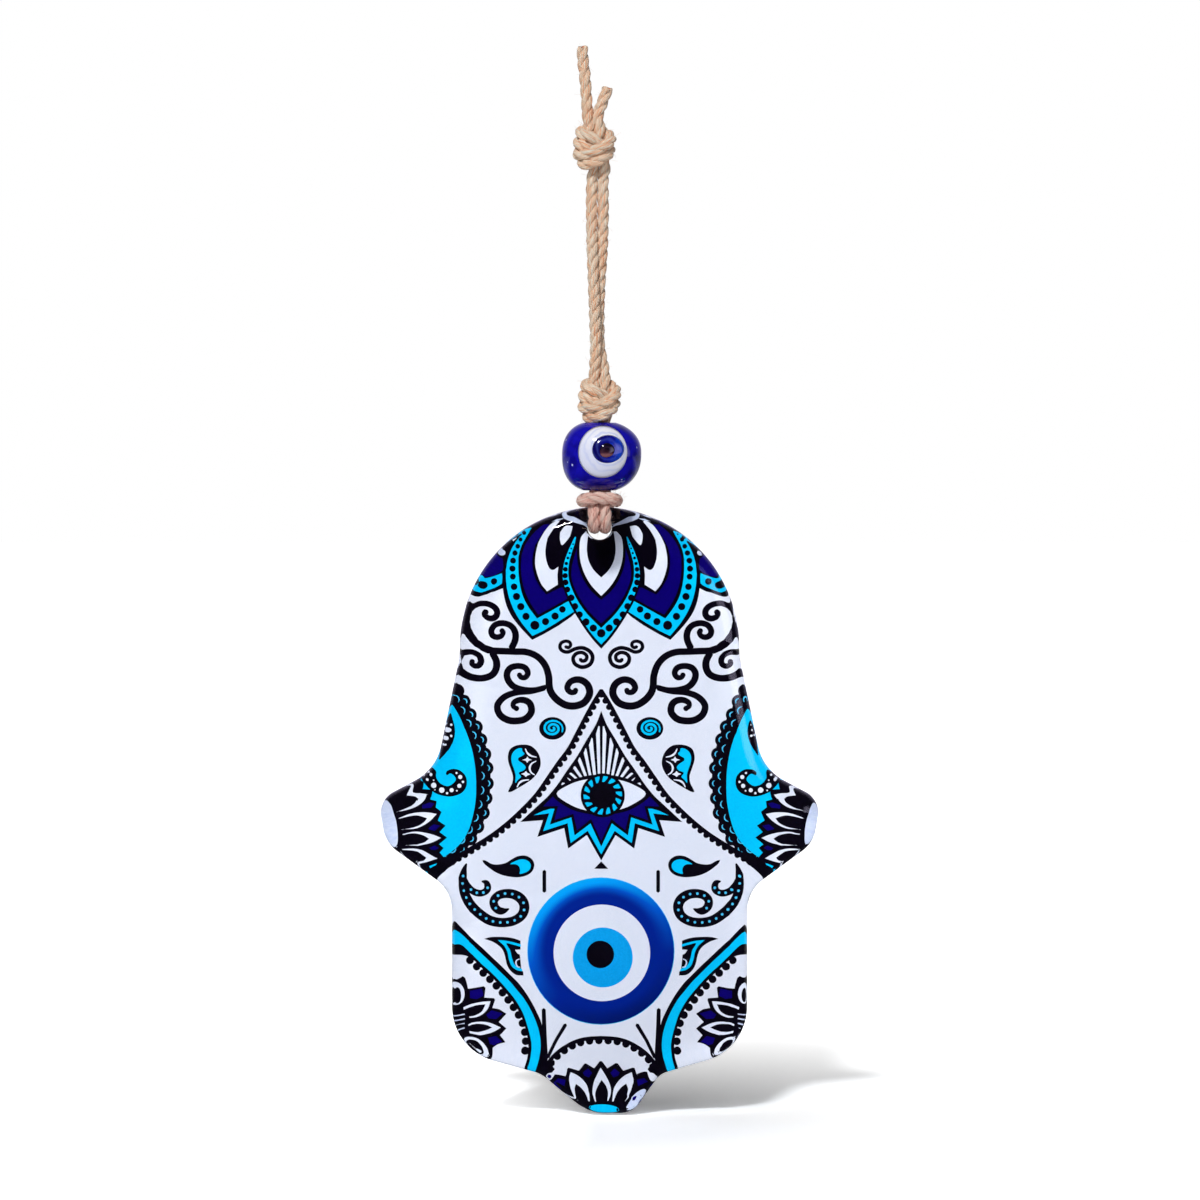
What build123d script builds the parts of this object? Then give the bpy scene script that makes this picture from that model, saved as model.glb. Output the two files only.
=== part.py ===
"""Hanging hamsa hand: clear glass, printed on its back, on knotted twine under a glass eye bead."""
import os
from math import atan2, pi, radians, tan

from build123d import *

# Millimetres, +Z up, front towards -Y. The origin is the nail point between the two
# strands, just under the top knot. Everything but the top knot and the tails hangs below it.

# Glass hand, from its top edge down
GLASS_THICKNESS = 8.0
FRONT_EDGE_RADIUS = 4.5
BACK_EDGE_RADIUS = 1.5
DOME_WIDTH = 64.4
DOME_SKIRT = 2.0
PALM_WIDTH = 75.4
PALM_HEIGHT = 60.5
THUMB_SPAN = 102.0
THUMB_SHOULDER = 7.1
THUMB_TIP_HEIGHT = 9.8
THUMB_UNDER_WIDTH = 98.8
THUMB_UNDER_HEIGHT = 11.2
FINGERS_WIDTH = 68.2
FINGERS_LENGTH = 36.6
FINGERS_END_SLOPE = 5.7
MIDDLE_ROOT_WIDTH = 27.6
MIDDLE_TIP_WIDTH = 10.2
MIDDLE_TIP_LENGTH = 9.1
SKIRT_TURN_SHARE = 0.92
PALM_RADIUS = 12.0
THUMB_TOP_RADIUS = 5.2
THUMB_UNDER_RADIUS = 8.0
FINGERS_TOP_RADIUS = 9.0
FINGERS_END_RADIUS = 13.0
MIDDLE_ROOT_RADIUS = 6.0
MIDDLE_TIP_RADIUS = 7.5
HOLE_DROP = 4.8
HOLE_CLEARANCE = 0.45

# Printed film on the glass back
FILM_THICKNESS = 0.3
FILM_INSET = 2.0
FILM_HOLE_MARGIN = 0.6

# Twine
CORD_DIAMETER = 2.3
CORD_GAP = 0.1
CORD_SEAT_GAP = 0.2
SMALLEST_TURN_SHARE = 0.45

# Bead with its fused eye
BEAD_WIDTH = 18.0
BEAD_DEPTH = 15.0
BEAD_HEIGHT = 16.6
BEAD_LENGTH = 15.2
BORE_CLEARANCE = 0.35
EYE_RISE = 0.8
WHITE_DIAMETER = 11.5
WHITE_STEP = 0.5
IRIS_DIAMETER = 7.0
IRIS_STEP = 0.5
IRIS_OFFSET = 1.1
PUPIL_DIAMETER = 3.6
PUPIL_STEP = 0.4
PUPIL_OFFSET = 0.9

# Heights along the hanging line
STRAND_DROP = 47.7
BEAD_PLAY = 0.3
BEAD_TO_GLASS = 3.5
SWAY_GAP = 0.75
TILT_DEPTH_IN_BEAD = 2.3
TILT_GAP = 0.3

# Knots, tied in both strands together and drawn tight: two leaning turns round the pair
KNOT_HEIGHT = 10.0
KNOT_WIDTH = 9.5
KNOT_TURN_THICKNESS = 3.2
KNOT_TURN_LEAN = 22.0
KNOT_TURN_SPACING = 3.6
TOP_KNOT_SHIFT = -1.2
LONG_TAIL = 18.0
SHORT_TAIL = 8.8

# Hitch round the glass edge, heights taken up from the top edge of the glass
LEG_BEND_RISE = 1.9
LEG_SHOULDER_DROP = 0.4
NOOSE_RISE = 1.7
NOOSE_FORWARD = 0.7
NOOSE_SIDE_GAP = 0.55
NOOSE_BACK_DEPTH = 4.2
BACK_BEND_DROP = 0.2

# Positions that follow from the sizes
dome_radius = DOME_WIDTH / 2
thumb_top_drop = PALM_HEIGHT + THUMB_SHOULDER
thumb_under_drop = thumb_top_drop + THUMB_TIP_HEIGHT
fingers_top_drop = thumb_under_drop + THUMB_UNDER_HEIGHT
fingers_end_drop = fingers_top_drop + FINGERS_LENGTH
middle_root_drop = fingers_end_drop + FINGERS_END_SLOPE
hand_height = middle_root_drop + MIDDLE_TIP_LENGTH
skirt_turn = atan2(PALM_WIDTH / 2 - dome_radius, PALM_HEIGHT - dome_radius - DOME_SKIRT)
side_radius = SKIRT_TURN_SHARE * DOME_SKIRT / tan(skirt_turn / 2)
cord_radius = CORD_DIAMETER / 2
strand_x = (CORD_DIAMETER + CORD_GAP) / 2
pair_radius = strand_x + cord_radius
bore_radius = pair_radius + BORE_CLEARANCE
hole_radius = pair_radius + HOLE_CLEARANCE
strand_top_z = -cord_radius
bead_knot_top = -STRAND_DROP
bead_knot_bottom = bead_knot_top - KNOT_HEIGHT
bead_z = bead_knot_bottom - BEAD_PLAY - BEAD_LENGTH / 2
bead_bottom = bead_z - BEAD_LENGTH / 2
tilt_z = bead_bottom + TILT_DEPTH_IN_BEAD
glass_top = bead_bottom - BEAD_TO_GLASS
hole_z = glass_top - HOLE_DROP
glass_back = GLASS_THICKNESS / 2
film_back = glass_back + FILM_THICKNESS
front_leg_y = -glass_back - cord_radius - CORD_SEAT_GAP
back_leg_y = film_back + cord_radius + CORD_SEAT_GAP
top_knot_top = SWAY_GAP + KNOT_HEIGHT


def turn_radii(points):
    """Bend radius at each corner: a share of the shorter run, set by the angle of the turn."""
    radii = []
    for before, corner, after in zip(points, points[1:], points[2:]):
        run_in = Vector(*corner) - Vector(*before)
        run_out = Vector(*after) - Vector(*corner)
        shorter = min(run_in.length, run_out.length)
        turn = run_in.get_angle(run_out)
        radii.append(SMALLEST_TURN_SHARE * shorter / tan(radians(turn / 2)))
    return radii


def cord(points):
    """A stretch of twine: straight runs joined by arcs through the given points."""
    radii = turn_radii(points)
    path = FilletPolyline(*points, radius=radii)
    start = Plane(origin=path @ 0, z_dir=path % 0)
    tube = sweep(start * Circle(cord_radius), path=path)
    share = tube.volume / (pi * cord_radius**2 * path.length)
    print("cord radii", [round(radius, 1) for radius in radii], "volume share", round(share, 4))
    return tube


def straight_cord(x, y, low, high):
    """A straight upright stretch of twine."""
    return Pos(x, y, (low + high) / 2) * Cylinder(cord_radius, high - low)


def hand_face(inset):
    """The hand seen from the front, drawn on the XZ plane and shrunk by the inset."""
    corners = [
        (dome_radius, -dome_radius),
        (dome_radius, -dome_radius - DOME_SKIRT),
        (PALM_WIDTH / 2, -PALM_HEIGHT),
        (THUMB_SPAN / 2, -thumb_top_drop),
        (THUMB_UNDER_WIDTH / 2, -thumb_under_drop),
        (FINGERS_WIDTH / 2, -fingers_top_drop),
        (FINGERS_WIDTH / 2, -fingers_end_drop),
        (MIDDLE_ROOT_WIDTH / 2, -middle_root_drop),
        (MIDDLE_TIP_WIDTH / 2, -hand_height),
        (0, -hand_height),
    ]
    radii = [
        side_radius,
        PALM_RADIUS,
        THUMB_TOP_RADIUS,
        THUMB_UNDER_RADIUS,
        FINGERS_TOP_RADIUS,
        FINGERS_END_RADIUS,
        MIDDLE_ROOT_RADIUS,
        MIDDLE_TIP_RADIUS,
    ]
    dome = CenterArc((0, -dome_radius), dome_radius, start_angle=0, arc_size=90)
    side = FilletPolyline(*corners, radius=radii)
    half = Curve() + dome + side
    outline = half + mirror(half, about=Plane.YZ)
    face = make_face(outline)
    if inset > 0:
        face = offset(face, amount=-inset)
    return Pos(0, 0, glass_top) * (Plane.XZ * face)


def hand_slab(inset, front, back):
    """The hand outline as a slab between two depths."""
    return extrude(Pos(0, front, 0) * hand_face(inset), amount=back - front, dir=(0, 1, 0))


def hole_cut(radius):
    """The cutter of the hanging hole."""
    return Pos(0, 0, hole_z) * Rot(90, 0, 0) * Cylinder(radius, 4 * GLASS_THICKNESS)


def glass_hand():
    body = hand_slab(0, -glass_back, glass_back)
    front_edges = body.edges().group_by(Axis.Y)[0]
    body = fillet(front_edges, FRONT_EDGE_RADIUS)
    back_edges = body.edges().group_by(Axis.Y)[-1]
    body = fillet(back_edges, BACK_EDGE_RADIUS)
    return body - hole_cut(hole_radius)


def print_film():
    film = hand_slab(FILM_INSET, glass_back, film_back)
    return film - hole_cut(hole_radius + FILM_HOLE_MARGIN)


def bead_shape(growth):
    """The pressed round bead, grown outwards all over."""
    size = (BEAD_WIDTH / 2 + growth, BEAD_DEPTH / 2 + growth, BEAD_HEIGHT / 2 + growth)
    return Pos(0, 0, bead_z) * scale(Sphere(1), by=size)


def bead_body():
    trimmed = bead_shape(0) & Pos(0, 0, bead_z) * Box(2 * BEAD_WIDTH, 2 * BEAD_DEPTH, BEAD_LENGTH)
    return trimmed - Pos(0, 0, bead_z) * Cylinder(bore_radius, 2 * BEAD_HEIGHT)


def eye_layer(diameter, offset_x, growth, below):
    """One drop of glass on the bead's front, lying on the layer below it."""
    column = Pos(offset_x, -BEAD_DEPTH / 2, bead_z + EYE_RISE) * Rot(90, 0, 0)
    return (bead_shape(growth) & column * Cylinder(diameter / 2, BEAD_DEPTH)) - bead_shape(below)


def knot_turns(x, z):
    """Two crossing turns of a knot, each of two strands pressed together."""
    turn = Torus((KNOT_WIDTH - KNOT_TURN_THICKNESS) / 2, KNOT_TURN_THICKNESS / 2)
    upper = Pos(x, 0, z + KNOT_TURN_SPACING / 2) * Rot(0, KNOT_TURN_LEAN, 0) * turn
    lower = Pos(x, 0, z - KNOT_TURN_SPACING / 2) * Rot(0, -KNOT_TURN_LEAN, 0) * turn
    return upper + lower


def bead_knot():
    knot = knot_turns(0, (bead_knot_top + bead_knot_bottom) / 2)
    for side in (-1, 1):
        knot += straight_cord(side * strand_x, 0, bead_knot_bottom, bead_knot_top)
    return knot


def top_knot():
    middle = (SWAY_GAP + top_knot_top) / 2
    knot = knot_turns(TOP_KNOT_SHIFT, middle)
    end_run = KNOT_HEIGHT / 8
    for side in (-1, 1):
        low = side * strand_x
        high = low + TOP_KNOT_SHIFT / 2
        points = [
            (low, 0, SWAY_GAP),
            (low, 0, SWAY_GAP + end_run),
            (low + TOP_KNOT_SHIFT, 0, middle),
            (high, 0, top_knot_top - end_run),
            (high, 0, top_knot_top),
        ]
        knot += cord(points)
    return knot


def tail_left():
    x = -strand_x + TOP_KNOT_SHIFT / 2
    points = [
        (x, 0, top_knot_top),
        (x, 0, top_knot_top + LONG_TAIL * 0.3),
        (x - 0.5, 0, top_knot_top + LONG_TAIL * 0.65),
        (x - 0.8, 0, top_knot_top + LONG_TAIL),
    ]
    return cord(points)


def tail_right():
    x = strand_x + TOP_KNOT_SHIFT / 2
    points = [
        (x, 0, top_knot_top),
        (x, 0, top_knot_top + SHORT_TAIL * 0.35),
        (x + 1.7, 0, top_knot_top + SHORT_TAIL),
    ]
    return cord(points)


def strand(side, route):
    """A strand from the nail point to the bead knot, with a rounded top that clears the knot."""
    x = side * strand_x
    points = [(x, 0, strand_top_z)]
    points += [(px, py, -share * STRAND_DROP) for px, py, share in route]
    points += [(x, 0, bead_knot_top + cord_radius), (x, 0, bead_knot_top)]
    return cord(points) + Pos(x, 0, strand_top_z) * Sphere(cord_radius)


def bead_run(side):
    return straight_cord(side * strand_x, 0, tilt_z + cord_radius + TILT_GAP, bead_knot_bottom)


noose_x = pair_radius + NOOSE_SIDE_GAP + cord_radius
noose_y = front_leg_y - NOOSE_FORWARD
noose_z = glass_top + NOOSE_RISE
noose_split_y = -cord_radius


def hitch_leg(side):
    """From inside the bead over the glass front, through the hole, up the back to the noose."""
    x = side * strand_x
    points = [
        (x, 0, tilt_z),
        (x, 0, glass_top + LEG_BEND_RISE),
        (x, front_leg_y, glass_top - LEG_SHOULDER_DROP),
        (x, front_leg_y, hole_z),
        (x, back_leg_y, hole_z),
        (x, back_leg_y, glass_top - BACK_BEND_DROP),
        (side * noose_x, NOOSE_BACK_DEPTH, noose_z),
        (side * noose_x, noose_split_y, noose_z),
    ]
    return cord(points) + Pos(x, 0, tilt_z) * Sphere(cord_radius)


def hitch_bight():
    points = [
        (-noose_x, noose_split_y, noose_z),
        (-noose_x, noose_y, noose_z),
        (noose_x, noose_y, noose_z),
        (noose_x, noose_split_y, noose_z),
    ]
    return cord(points)


# Strand routes: sideways, depth, share of the drop
left_route = [
    (-1.4, -0.2, 0.2),
    (-1.25, -0.7, 0.41),
    (-1.0, -1.0, 0.62),
    (-0.9, -0.95, 0.82),
    (-1.2, -0.6, 0.92),
]
right_route = [
    (1.4, 0.2, 0.2),
    (1.0, 0.7, 0.41),
    (0.5, 1.1, 0.62),
    (0.6, 1.05, 0.82),
    (1.0, 0.7, 0.92),
]

white_growth = WHITE_STEP
iris_growth = white_growth + IRIS_STEP
pupil_growth = iris_growth + PUPIL_STEP

nodes = {
    "glass_hand": glass_hand(),
    "print_film": print_film(),
    "bead_body": bead_body(),
    "bead_eye_white": eye_layer(WHITE_DIAMETER, 0, white_growth, 0),
    "bead_eye_iris": eye_layer(IRIS_DIAMETER, IRIS_OFFSET, iris_growth, white_growth),
    "bead_eye_pupil": eye_layer(PUPIL_DIAMETER, PUPIL_OFFSET, pupil_growth, iris_growth),
    "hitch_bight": hitch_bight(),
    "hitch_leg_left": hitch_leg(-1),
    "hitch_leg_right": hitch_leg(1),
    "bead_run_left": bead_run(-1),
    "bead_run_right": bead_run(1),
    "bead_knot": bead_knot(),
    "strand_left": strand(-1, left_route),
    "strand_right": strand(1, right_route),
    "top_knot": top_knot(),
    "tail_left": tail_left(),
    "tail_right": tail_right(),
}

os.makedirs("parts", exist_ok=True)
for name, shape in nodes.items():
    solids = shape.solids()
    assert len(solids) == 1 and solids[0].is_valid, f"{name}: {len(solids)} solids"
    export_step(solids[0], f"parts/{name}.step")
    box = solids[0].bounding_box()
    print(f"{name}: {solids[0].volume:.1f} mm3, z {box.min.Z:.1f} to {box.max.Z:.1f}")
print("tilt axis z", round(tilt_z, 3), "bead z", round(bead_z, 3), "glass top", round(glass_top, 3))
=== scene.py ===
"""Looks of the hanging hamsa hand: printed glass, eye bead and jute twine."""
from math import atan2, cos, hypot, pi, radians, sin, sqrt, tan

import bmesh
import bpy
import numpy as np
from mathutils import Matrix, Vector, noise
from mathutils.geometry import delaunay_2d_cdt


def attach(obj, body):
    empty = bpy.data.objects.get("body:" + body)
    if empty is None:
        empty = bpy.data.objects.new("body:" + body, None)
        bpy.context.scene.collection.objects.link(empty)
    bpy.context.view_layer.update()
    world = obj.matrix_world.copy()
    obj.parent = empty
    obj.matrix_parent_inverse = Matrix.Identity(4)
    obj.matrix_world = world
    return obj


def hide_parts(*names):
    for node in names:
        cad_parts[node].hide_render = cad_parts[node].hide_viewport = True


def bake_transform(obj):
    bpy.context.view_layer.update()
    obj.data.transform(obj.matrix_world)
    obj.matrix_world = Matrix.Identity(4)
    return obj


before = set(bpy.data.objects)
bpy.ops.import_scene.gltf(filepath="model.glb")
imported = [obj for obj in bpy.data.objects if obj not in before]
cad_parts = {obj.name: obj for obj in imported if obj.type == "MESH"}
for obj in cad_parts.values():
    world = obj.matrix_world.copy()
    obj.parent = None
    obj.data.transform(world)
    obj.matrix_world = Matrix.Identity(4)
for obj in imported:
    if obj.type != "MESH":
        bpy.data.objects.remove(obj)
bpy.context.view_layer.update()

# All sizes are in millimetres, in the frame of the solids, and become metres in the meshes.
MM = 0.001

# Glass hand, heights taken down from its top edge
GLASS_TOP = -76.7
GLASS_FRONT = -4.0
GLASS_BACK = 4.0
GLASS_IOR = 1.5
FRONT_EDGE = 4.5
BACK_EDGE = 1.5
DOME_RADIUS = 32.2
HAND_CORNERS = [
    ((32.2, -32.2), 0),
    ((32.2, -34.2), 17.8),
    ((37.7, -60.5), 12.0),
    ((51.0, -67.6), 5.2),
    ((49.4, -77.4), 8.0),
    ((34.1, -88.6), 9.0),
    ((34.1, -125.2), 13.0),
    ((13.8, -130.9), 6.0),
    ((5.1, -140.0), 7.5),
    ((0.0, -140.0), 0),
]
TIP_LEAN = 2.7
TIP_LEAN_START = -128.0
TIP_LEAN_RUN = 12.0
DOME_STEPS = 36
CORNER_STEP = radians(4)
EDGE_STEP = 1.2
SAME_PLACE = 0.01
FLAT_MARGIN = 0.4
HOLE_Z = -81.5
HOLE_RADIUS = 2.8
HOLE_LIP = 0.35
HOLE_LIP_TURN = 78
HOLE_SIDES = 64
SHARP_ANGLE = radians(32)

# Printed film
FILM_INSET = 2.0
FILM_HOLE_RADIUS = 2.85
FILM_FRONT = GLASS_BACK - 0.05
FILM_BACK = 4.3

# Bead
BEAD_Z = -65.1
BEAD_HALF = (9.0, 7.5, 8.2)
BEAD_FULLNESS = 2.4
BEAD_HALF_LENGTH = 7.8
BORE_RADIUS = 2.7
EYE_Z = BEAD_Z + 1.1

# Twine
STRAND_X = 1.2
KNOT_HALF_HEIGHT = 5.0
TOP_KNOT_SHIFT = -1.2
TOP_KNOT_Z = 5.75
BEAD_KNOT_Z = -52.2

# Plies of a twine, in metres as the node tree takes them, and how many times thicker each twine is
PLY_RADIUS = 0.00066
LAY_RADIUS = 0.00052
TWIST_LENGTH = 0.0085
STRAND_THICKNESS = 1.17
HITCH_THICKNESS = 1.26
LINE_STEP = 0.00036
PLY_SIDES = 10
HAIR_SIDES = 3

# The fibres' run round and along a ply for each metre of its length, and how far they stand out, in metres
FIBRE_ROUND = 500.0
FIBRE_ALONG = 60.0
FIBRE_RELIEF = 0.0003

# Camera
LENS = 135.0
SENSOR = 36.0
FRAME_WIDTH = 276.1
FRAME_CENTRE = (0.1, 0.0, -98.1)
VIEW_RISE = radians(2.0)
VIEW_DISTANCE = FRAME_WIDTH * LENS / SENSOR


def metres(points):
    """Points in millimetres as points in metres."""
    return [(x * MM, y * MM, z * MM) for x, y, z in points]


def ink_colour(red, green, blue):
    """A colour written as 0 to 255 on screen, as the renderer's linear values."""
    def linear(value):
        value /= 255
        return value / 12.92 if value <= 0.04045 else ((value + 0.055) / 1.055) ** 2.4
    return (linear(red), linear(green), linear(blue), 1.0)


def feed(tree, socket, value):
    """Links a socket to another one, or gives it a plain value."""
    if isinstance(value, bpy.types.NodeSocket):
        tree.links.new(value, socket)
    else:
        socket.default_value = value


def add_node(tree, kind, inputs=None, **settings):
    """One node with its settings, its plain values and its links."""
    made = tree.nodes.new(kind)
    for key, value in settings.items():
        setattr(made, key, value)
    for key, value in (inputs or {}).items():
        if isinstance(key, int):
            socket = made.inputs[key]
        else:
            socket = next(s for s in made.inputs if s.name == key and s.enabled)
        feed(tree, socket, value)
    return made


def result(tree, kind, inputs=None, **settings):
    """The first output in use of a new node."""
    made = add_node(tree, kind, inputs, **settings)
    return next(s for s in made.outputs if s.enabled)


def maths(tree, operation, *values, **settings):
    """One step of arithmetic on numbers."""
    return result(tree, "ShaderNodeMath", dict(enumerate(values)), operation=operation, **settings)


def vector_maths(tree, operation, *values):
    """One step of arithmetic on vectors."""
    return result(tree, "ShaderNodeVectorMath", dict(enumerate(values)), operation=operation)


def scaled(tree, direction, length):
    """A vector made longer or shorter."""
    return result(tree, "ShaderNodeVectorMath", {0: direction, "Scale": length}, operation="SCALE")


def spread(tree, value, low, high, least=0.0, most=1.0, **settings):
    """A value carried from one range to another and held within it."""
    inputs = {"Value": value, "From Min": low, "From Max": high, "To Min": least, "To Max": most}
    return result(tree, "ShaderNodeMapRange", inputs, **settings)


def cloud(tree, **inputs):
    """The level of a soft noise."""
    return add_node(tree, "ShaderNodeTexNoise", inputs).outputs["Fac"]


def mix(tree, share, first, second, kind="RGBA"):
    """Two colours or numbers, mixed by a share."""
    return result(tree, "ShaderNodeMix", {"Factor": share, "A": first, "B": second}, data_type=kind)


def ramp(tree, share, stops):
    """A colour that runs through stops, each a place and a colour of 0 to 255."""
    made = add_node(tree, "ShaderNodeValToRGB", {"Fac": share})
    elements = made.color_ramp.elements
    while len(elements) < len(stops):
        elements.new(0.5)
    for element, (where, colour) in zip(elements, stops):
        element.position = where
        element.color = ink_colour(*colour)
    return made.outputs["Color"]


def object_place(tree):
    """Where a point of the object lies, in metres."""
    return add_node(tree, "ShaderNodeTexCoord").outputs["Object"]


def surface(name, **constants):
    """A new material with one principled shader and constants on that shader's own sockets."""
    made = bpy.data.materials.new(name)
    made.use_nodes = True
    tree = made.node_tree
    tree.nodes.clear()
    shader = add_node(tree, "ShaderNodeBsdfPrincipled")
    for key, value in constants.items():
        shader.inputs[key.replace("_", " ")].default_value = value
    add_node(tree, "ShaderNodeOutputMaterial", {"Surface": shader.outputs["BSDF"]})
    return made, tree, shader


def show(tree, shader):
    """Makes another shader the surface of its material."""
    out = next(n for n in tree.nodes if n.bl_idname == "ShaderNodeOutputMaterial")
    tree.links.new(shader, out.inputs["Surface"])


def roughen(tree, shader, height, strength, distance):
    """Raises a surface by a height."""
    bump = {"Height": height, "Strength": strength, "Distance": distance}
    feed(tree, shader.inputs["Normal"], result(tree, "ShaderNodeBump", bump))


def mottled(name, grain, stops, relief=None, **constants):
    """A material whose colour wanders between stops with a noise, which may raise it too."""
    material, tree, shader = surface(name, **constants)
    wander = cloud(tree, Vector=object_place(tree), **grain)
    feed(tree, shader.inputs["Base Color"], ramp(tree, wander, stops))
    if relief:
        roughen(tree, shader, wander, *relief)
    return material


def piece(name, points, faces, materials, face_materials=None, smooth=True):
    """A mesh object at the origin, from points in millimetres."""
    mesh = bpy.data.meshes.new(name)
    mesh.from_pydata(metres(points), [], faces)
    for each in materials:
        mesh.materials.append(each)
    if face_materials is not None:
        mesh.polygons.foreach_set("material_index", face_materials)
    mesh.polygons.foreach_set("use_smooth", [smooth] * len(mesh.polygons))
    mesh.validate()
    made = bpy.data.objects.new(name, mesh)
    bpy.context.collection.objects.link(made)
    return made


def plain_mesh(holder):
    """The mesh of an object after its modifiers."""
    graph = bpy.context.evaluated_depsgraph_get()
    return bpy.data.meshes.new_from_object(holder.evaluated_get(graph))


# Outline of the glass

def hand_outline():
    """Points of the hand's edge with their outward directions, clockwise from the top."""
    half = []
    for step in range(DOME_STEPS + 1):
        angle = pi / 2 * (1 - step / DOME_STEPS)
        half.append((DOME_RADIUS * cos(angle), DOME_RADIUS * (sin(angle) - 1)))
    for before, this, after in zip(HAND_CORNERS, HAND_CORNERS[1:], HAND_CORNERS[2:]):
        corner, radius = Vector(this[0]), this[1]
        run_in = (corner - Vector(before[0])).normalized()
        run_out = (Vector(after[0]) - corner).normalized()
        turn = run_in.angle_signed(run_out)
        start = corner - run_in * radius * tan(abs(turn) / 2)
        way = 1 if turn > 0 else -1
        outward = Vector((-run_in.y, run_in.x)) * way
        centre = start - outward * radius
        steps = max(6, round(abs(turn) / CORNER_STEP))
        for step in range(steps + 1):
            angle = -turn * step / steps
            half.append((
                centre.x + radius * (outward.x * cos(angle) - outward.y * sin(angle)),
                centre.y + radius * (outward.x * sin(angle) + outward.y * cos(angle)),
            ))
    half.append((0.0, HAND_CORNERS[-1][0][1]))
    loop = half + [(-x, z) for x, z in half[-2:0:-1]]
    edge = []
    for (x, z), (next_x, next_z) in zip(loop, loop[1:] + loop[:1]):
        gap = hypot(next_x - x, next_z - z)
        if gap < SAME_PLACE:
            continue
        parts = max(1, round(gap / EDGE_STEP))
        edge += [(x + (next_x - x) * part / parts, z + (next_z - z) * part / parts) for part in range(parts)]
    edge = np.array(edge)
    edge[:, 0] += TIP_LEAN * np.clip((TIP_LEAN_START - edge[:, 1]) / TIP_LEAN_RUN, 0, 1) ** 1.5
    along = np.roll(edge, -1, axis=0) - np.roll(edge, 1, axis=0)
    along /= np.hypot(along[:, 0], along[:, 1])[:, None]
    return np.column_stack((edge, -along[:, 1], along[:, 0]))


OUTLINE = hand_outline()


def outline_inset(inset):
    """The edge moved inwards, in the frame of the solids."""
    spots = OUTLINE[:, :2] - OUTLINE[:, 2:] * inset
    return spots + np.array((0.0, GLASS_TOP))


# Clear glass

def glass_material():
    """Clear glass with a faintly uneven surface, which throws only a thin shadow."""
    material, tree, shader = surface(
        "clear glass", Base_Color=(0.985, 0.99, 1.0, 1.0), Roughness=0.015, IOR=GLASS_IOR,
        Transmission_Weight=1.0,
    )
    waves = cloud(tree, Vector=object_place(tree), Scale=45.0, Detail=1.0)
    roughen(tree, shader, waves, strength=0.06, distance=0.0006)
    light = add_node(tree, "ShaderNodeLightPath").outputs
    clear = result(tree, "ShaderNodeBsdfTransparent", {"Color": (0.93, 0.95, 0.97, 1.0)})
    by_ray = {0: light["Is Shadow Ray"], 1: shader.outputs["BSDF"], 2: clear}
    show(tree, result(tree, "ShaderNodeMixShader", by_ray))
    return material


def bore_material():
    """The drilled wall of the hanging hole: dark, opaque ground glass."""
    return mottled(
        "ground bore", {"Scale": 1500.0, "Detail": 2.0}, [(0.0, (10, 8, 18)), (1.0, (46, 42, 62))],
        Roughness=0.6, IOR=GLASS_IOR,
    )


def glass_hand():
    """The moulded hand with fire-polished edges and a rounded hanging hole."""
    rings = [(FRONT_EDGE + FLAT_MARGIN, GLASS_FRONT)]
    front_steps, back_steps = 14, 8
    for step in range(front_steps + 1):
        angle = pi / 2 * step / front_steps
        rings.append((FRONT_EDGE * (1 - sin(angle)), GLASS_FRONT + FRONT_EDGE * (1 - cos(angle))))
    for step in range(back_steps + 1):
        angle = pi / 2 * (1 - step / back_steps)
        rings.append((BACK_EDGE * (1 - sin(angle)), GLASS_BACK - BACK_EDGE * (1 - cos(angle))))
    rings.append((BACK_EDGE + FLAT_MARGIN, GLASS_BACK))
    points = []
    for inset, depth in rings:
        points += [(x, depth, z) for x, z in outline_inset(inset)]
    count = len(OUTLINE)
    faces = [list(range(count))]
    for ring in range(len(rings) - 1):
        for spot in range(count):
            after = (spot + 1) % count
            low, high = ring * count, (ring + 1) * count
            faces.append((low + after, low + spot, high + spot, high + after))
    faces.append(list(range(len(points) - 1, len(points) - 1 - count, -1)))
    hand = piece("hand_glass", points, faces, [glass_material(), bore_material()])
    cut_hole(hand)
    return hand


def cut_hole(hand):
    """The hanging hole, with both its lips rounded."""
    profile = []
    lip_steps, overshoot = 6, 0.3
    for step in range(lip_steps + 1):
        angle = radians(HOLE_LIP_TURN - HOLE_LIP_TURN * step / lip_steps)
        profile.append((HOLE_RADIUS + HOLE_LIP * (1 - cos(angle)), GLASS_FRONT + HOLE_LIP * (1 - sin(angle))))
    profile = [(profile[0][0] + overshoot, GLASS_FRONT - overshoot)] + profile
    profile += [(radius, GLASS_BACK + GLASS_FRONT - depth) for radius, depth in reversed(profile)]
    sides = HOLE_SIDES
    points, faces = [], []
    for radius, depth in profile:
        for side in range(sides):
            angle = 2 * pi * side / sides
            points.append((radius * cos(angle), depth, HOLE_Z + radius * sin(angle)))
    for ring in range(len(profile) - 1):
        for side in range(sides):
            after = (side + 1) % sides
            low, high = ring * sides, (ring + 1) * sides
            faces.append((low + after, low + side, high + side, high + after))
    faces.append(list(range(sides)))
    faces.append(list(range(len(points) - 1, len(points) - 1 - sides, -1)))
    cutter = piece("hole_cutter", points, faces, [])
    cut = hand.modifiers.new("hole", "BOOLEAN")
    cut.operation = "DIFFERENCE"
    cut.solver = "EXACT"
    cut.object = cutter
    hand.data = plain_mesh(hand)
    hand.modifiers.clear()
    bpy.data.objects.remove(cutter)
    hand.data.set_sharp_from_angle(angle=SHARP_ANGLE)
    bore_reach = (HOLE_RADIUS + 0.02) * MM
    for face in hand.data.polygons:
        if hypot(face.center.x, face.center.z - HOLE_Z * MM) < bore_reach:
            face.material_index = 1


# Print: shapes of ink on a drawing board, laid over one another

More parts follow.
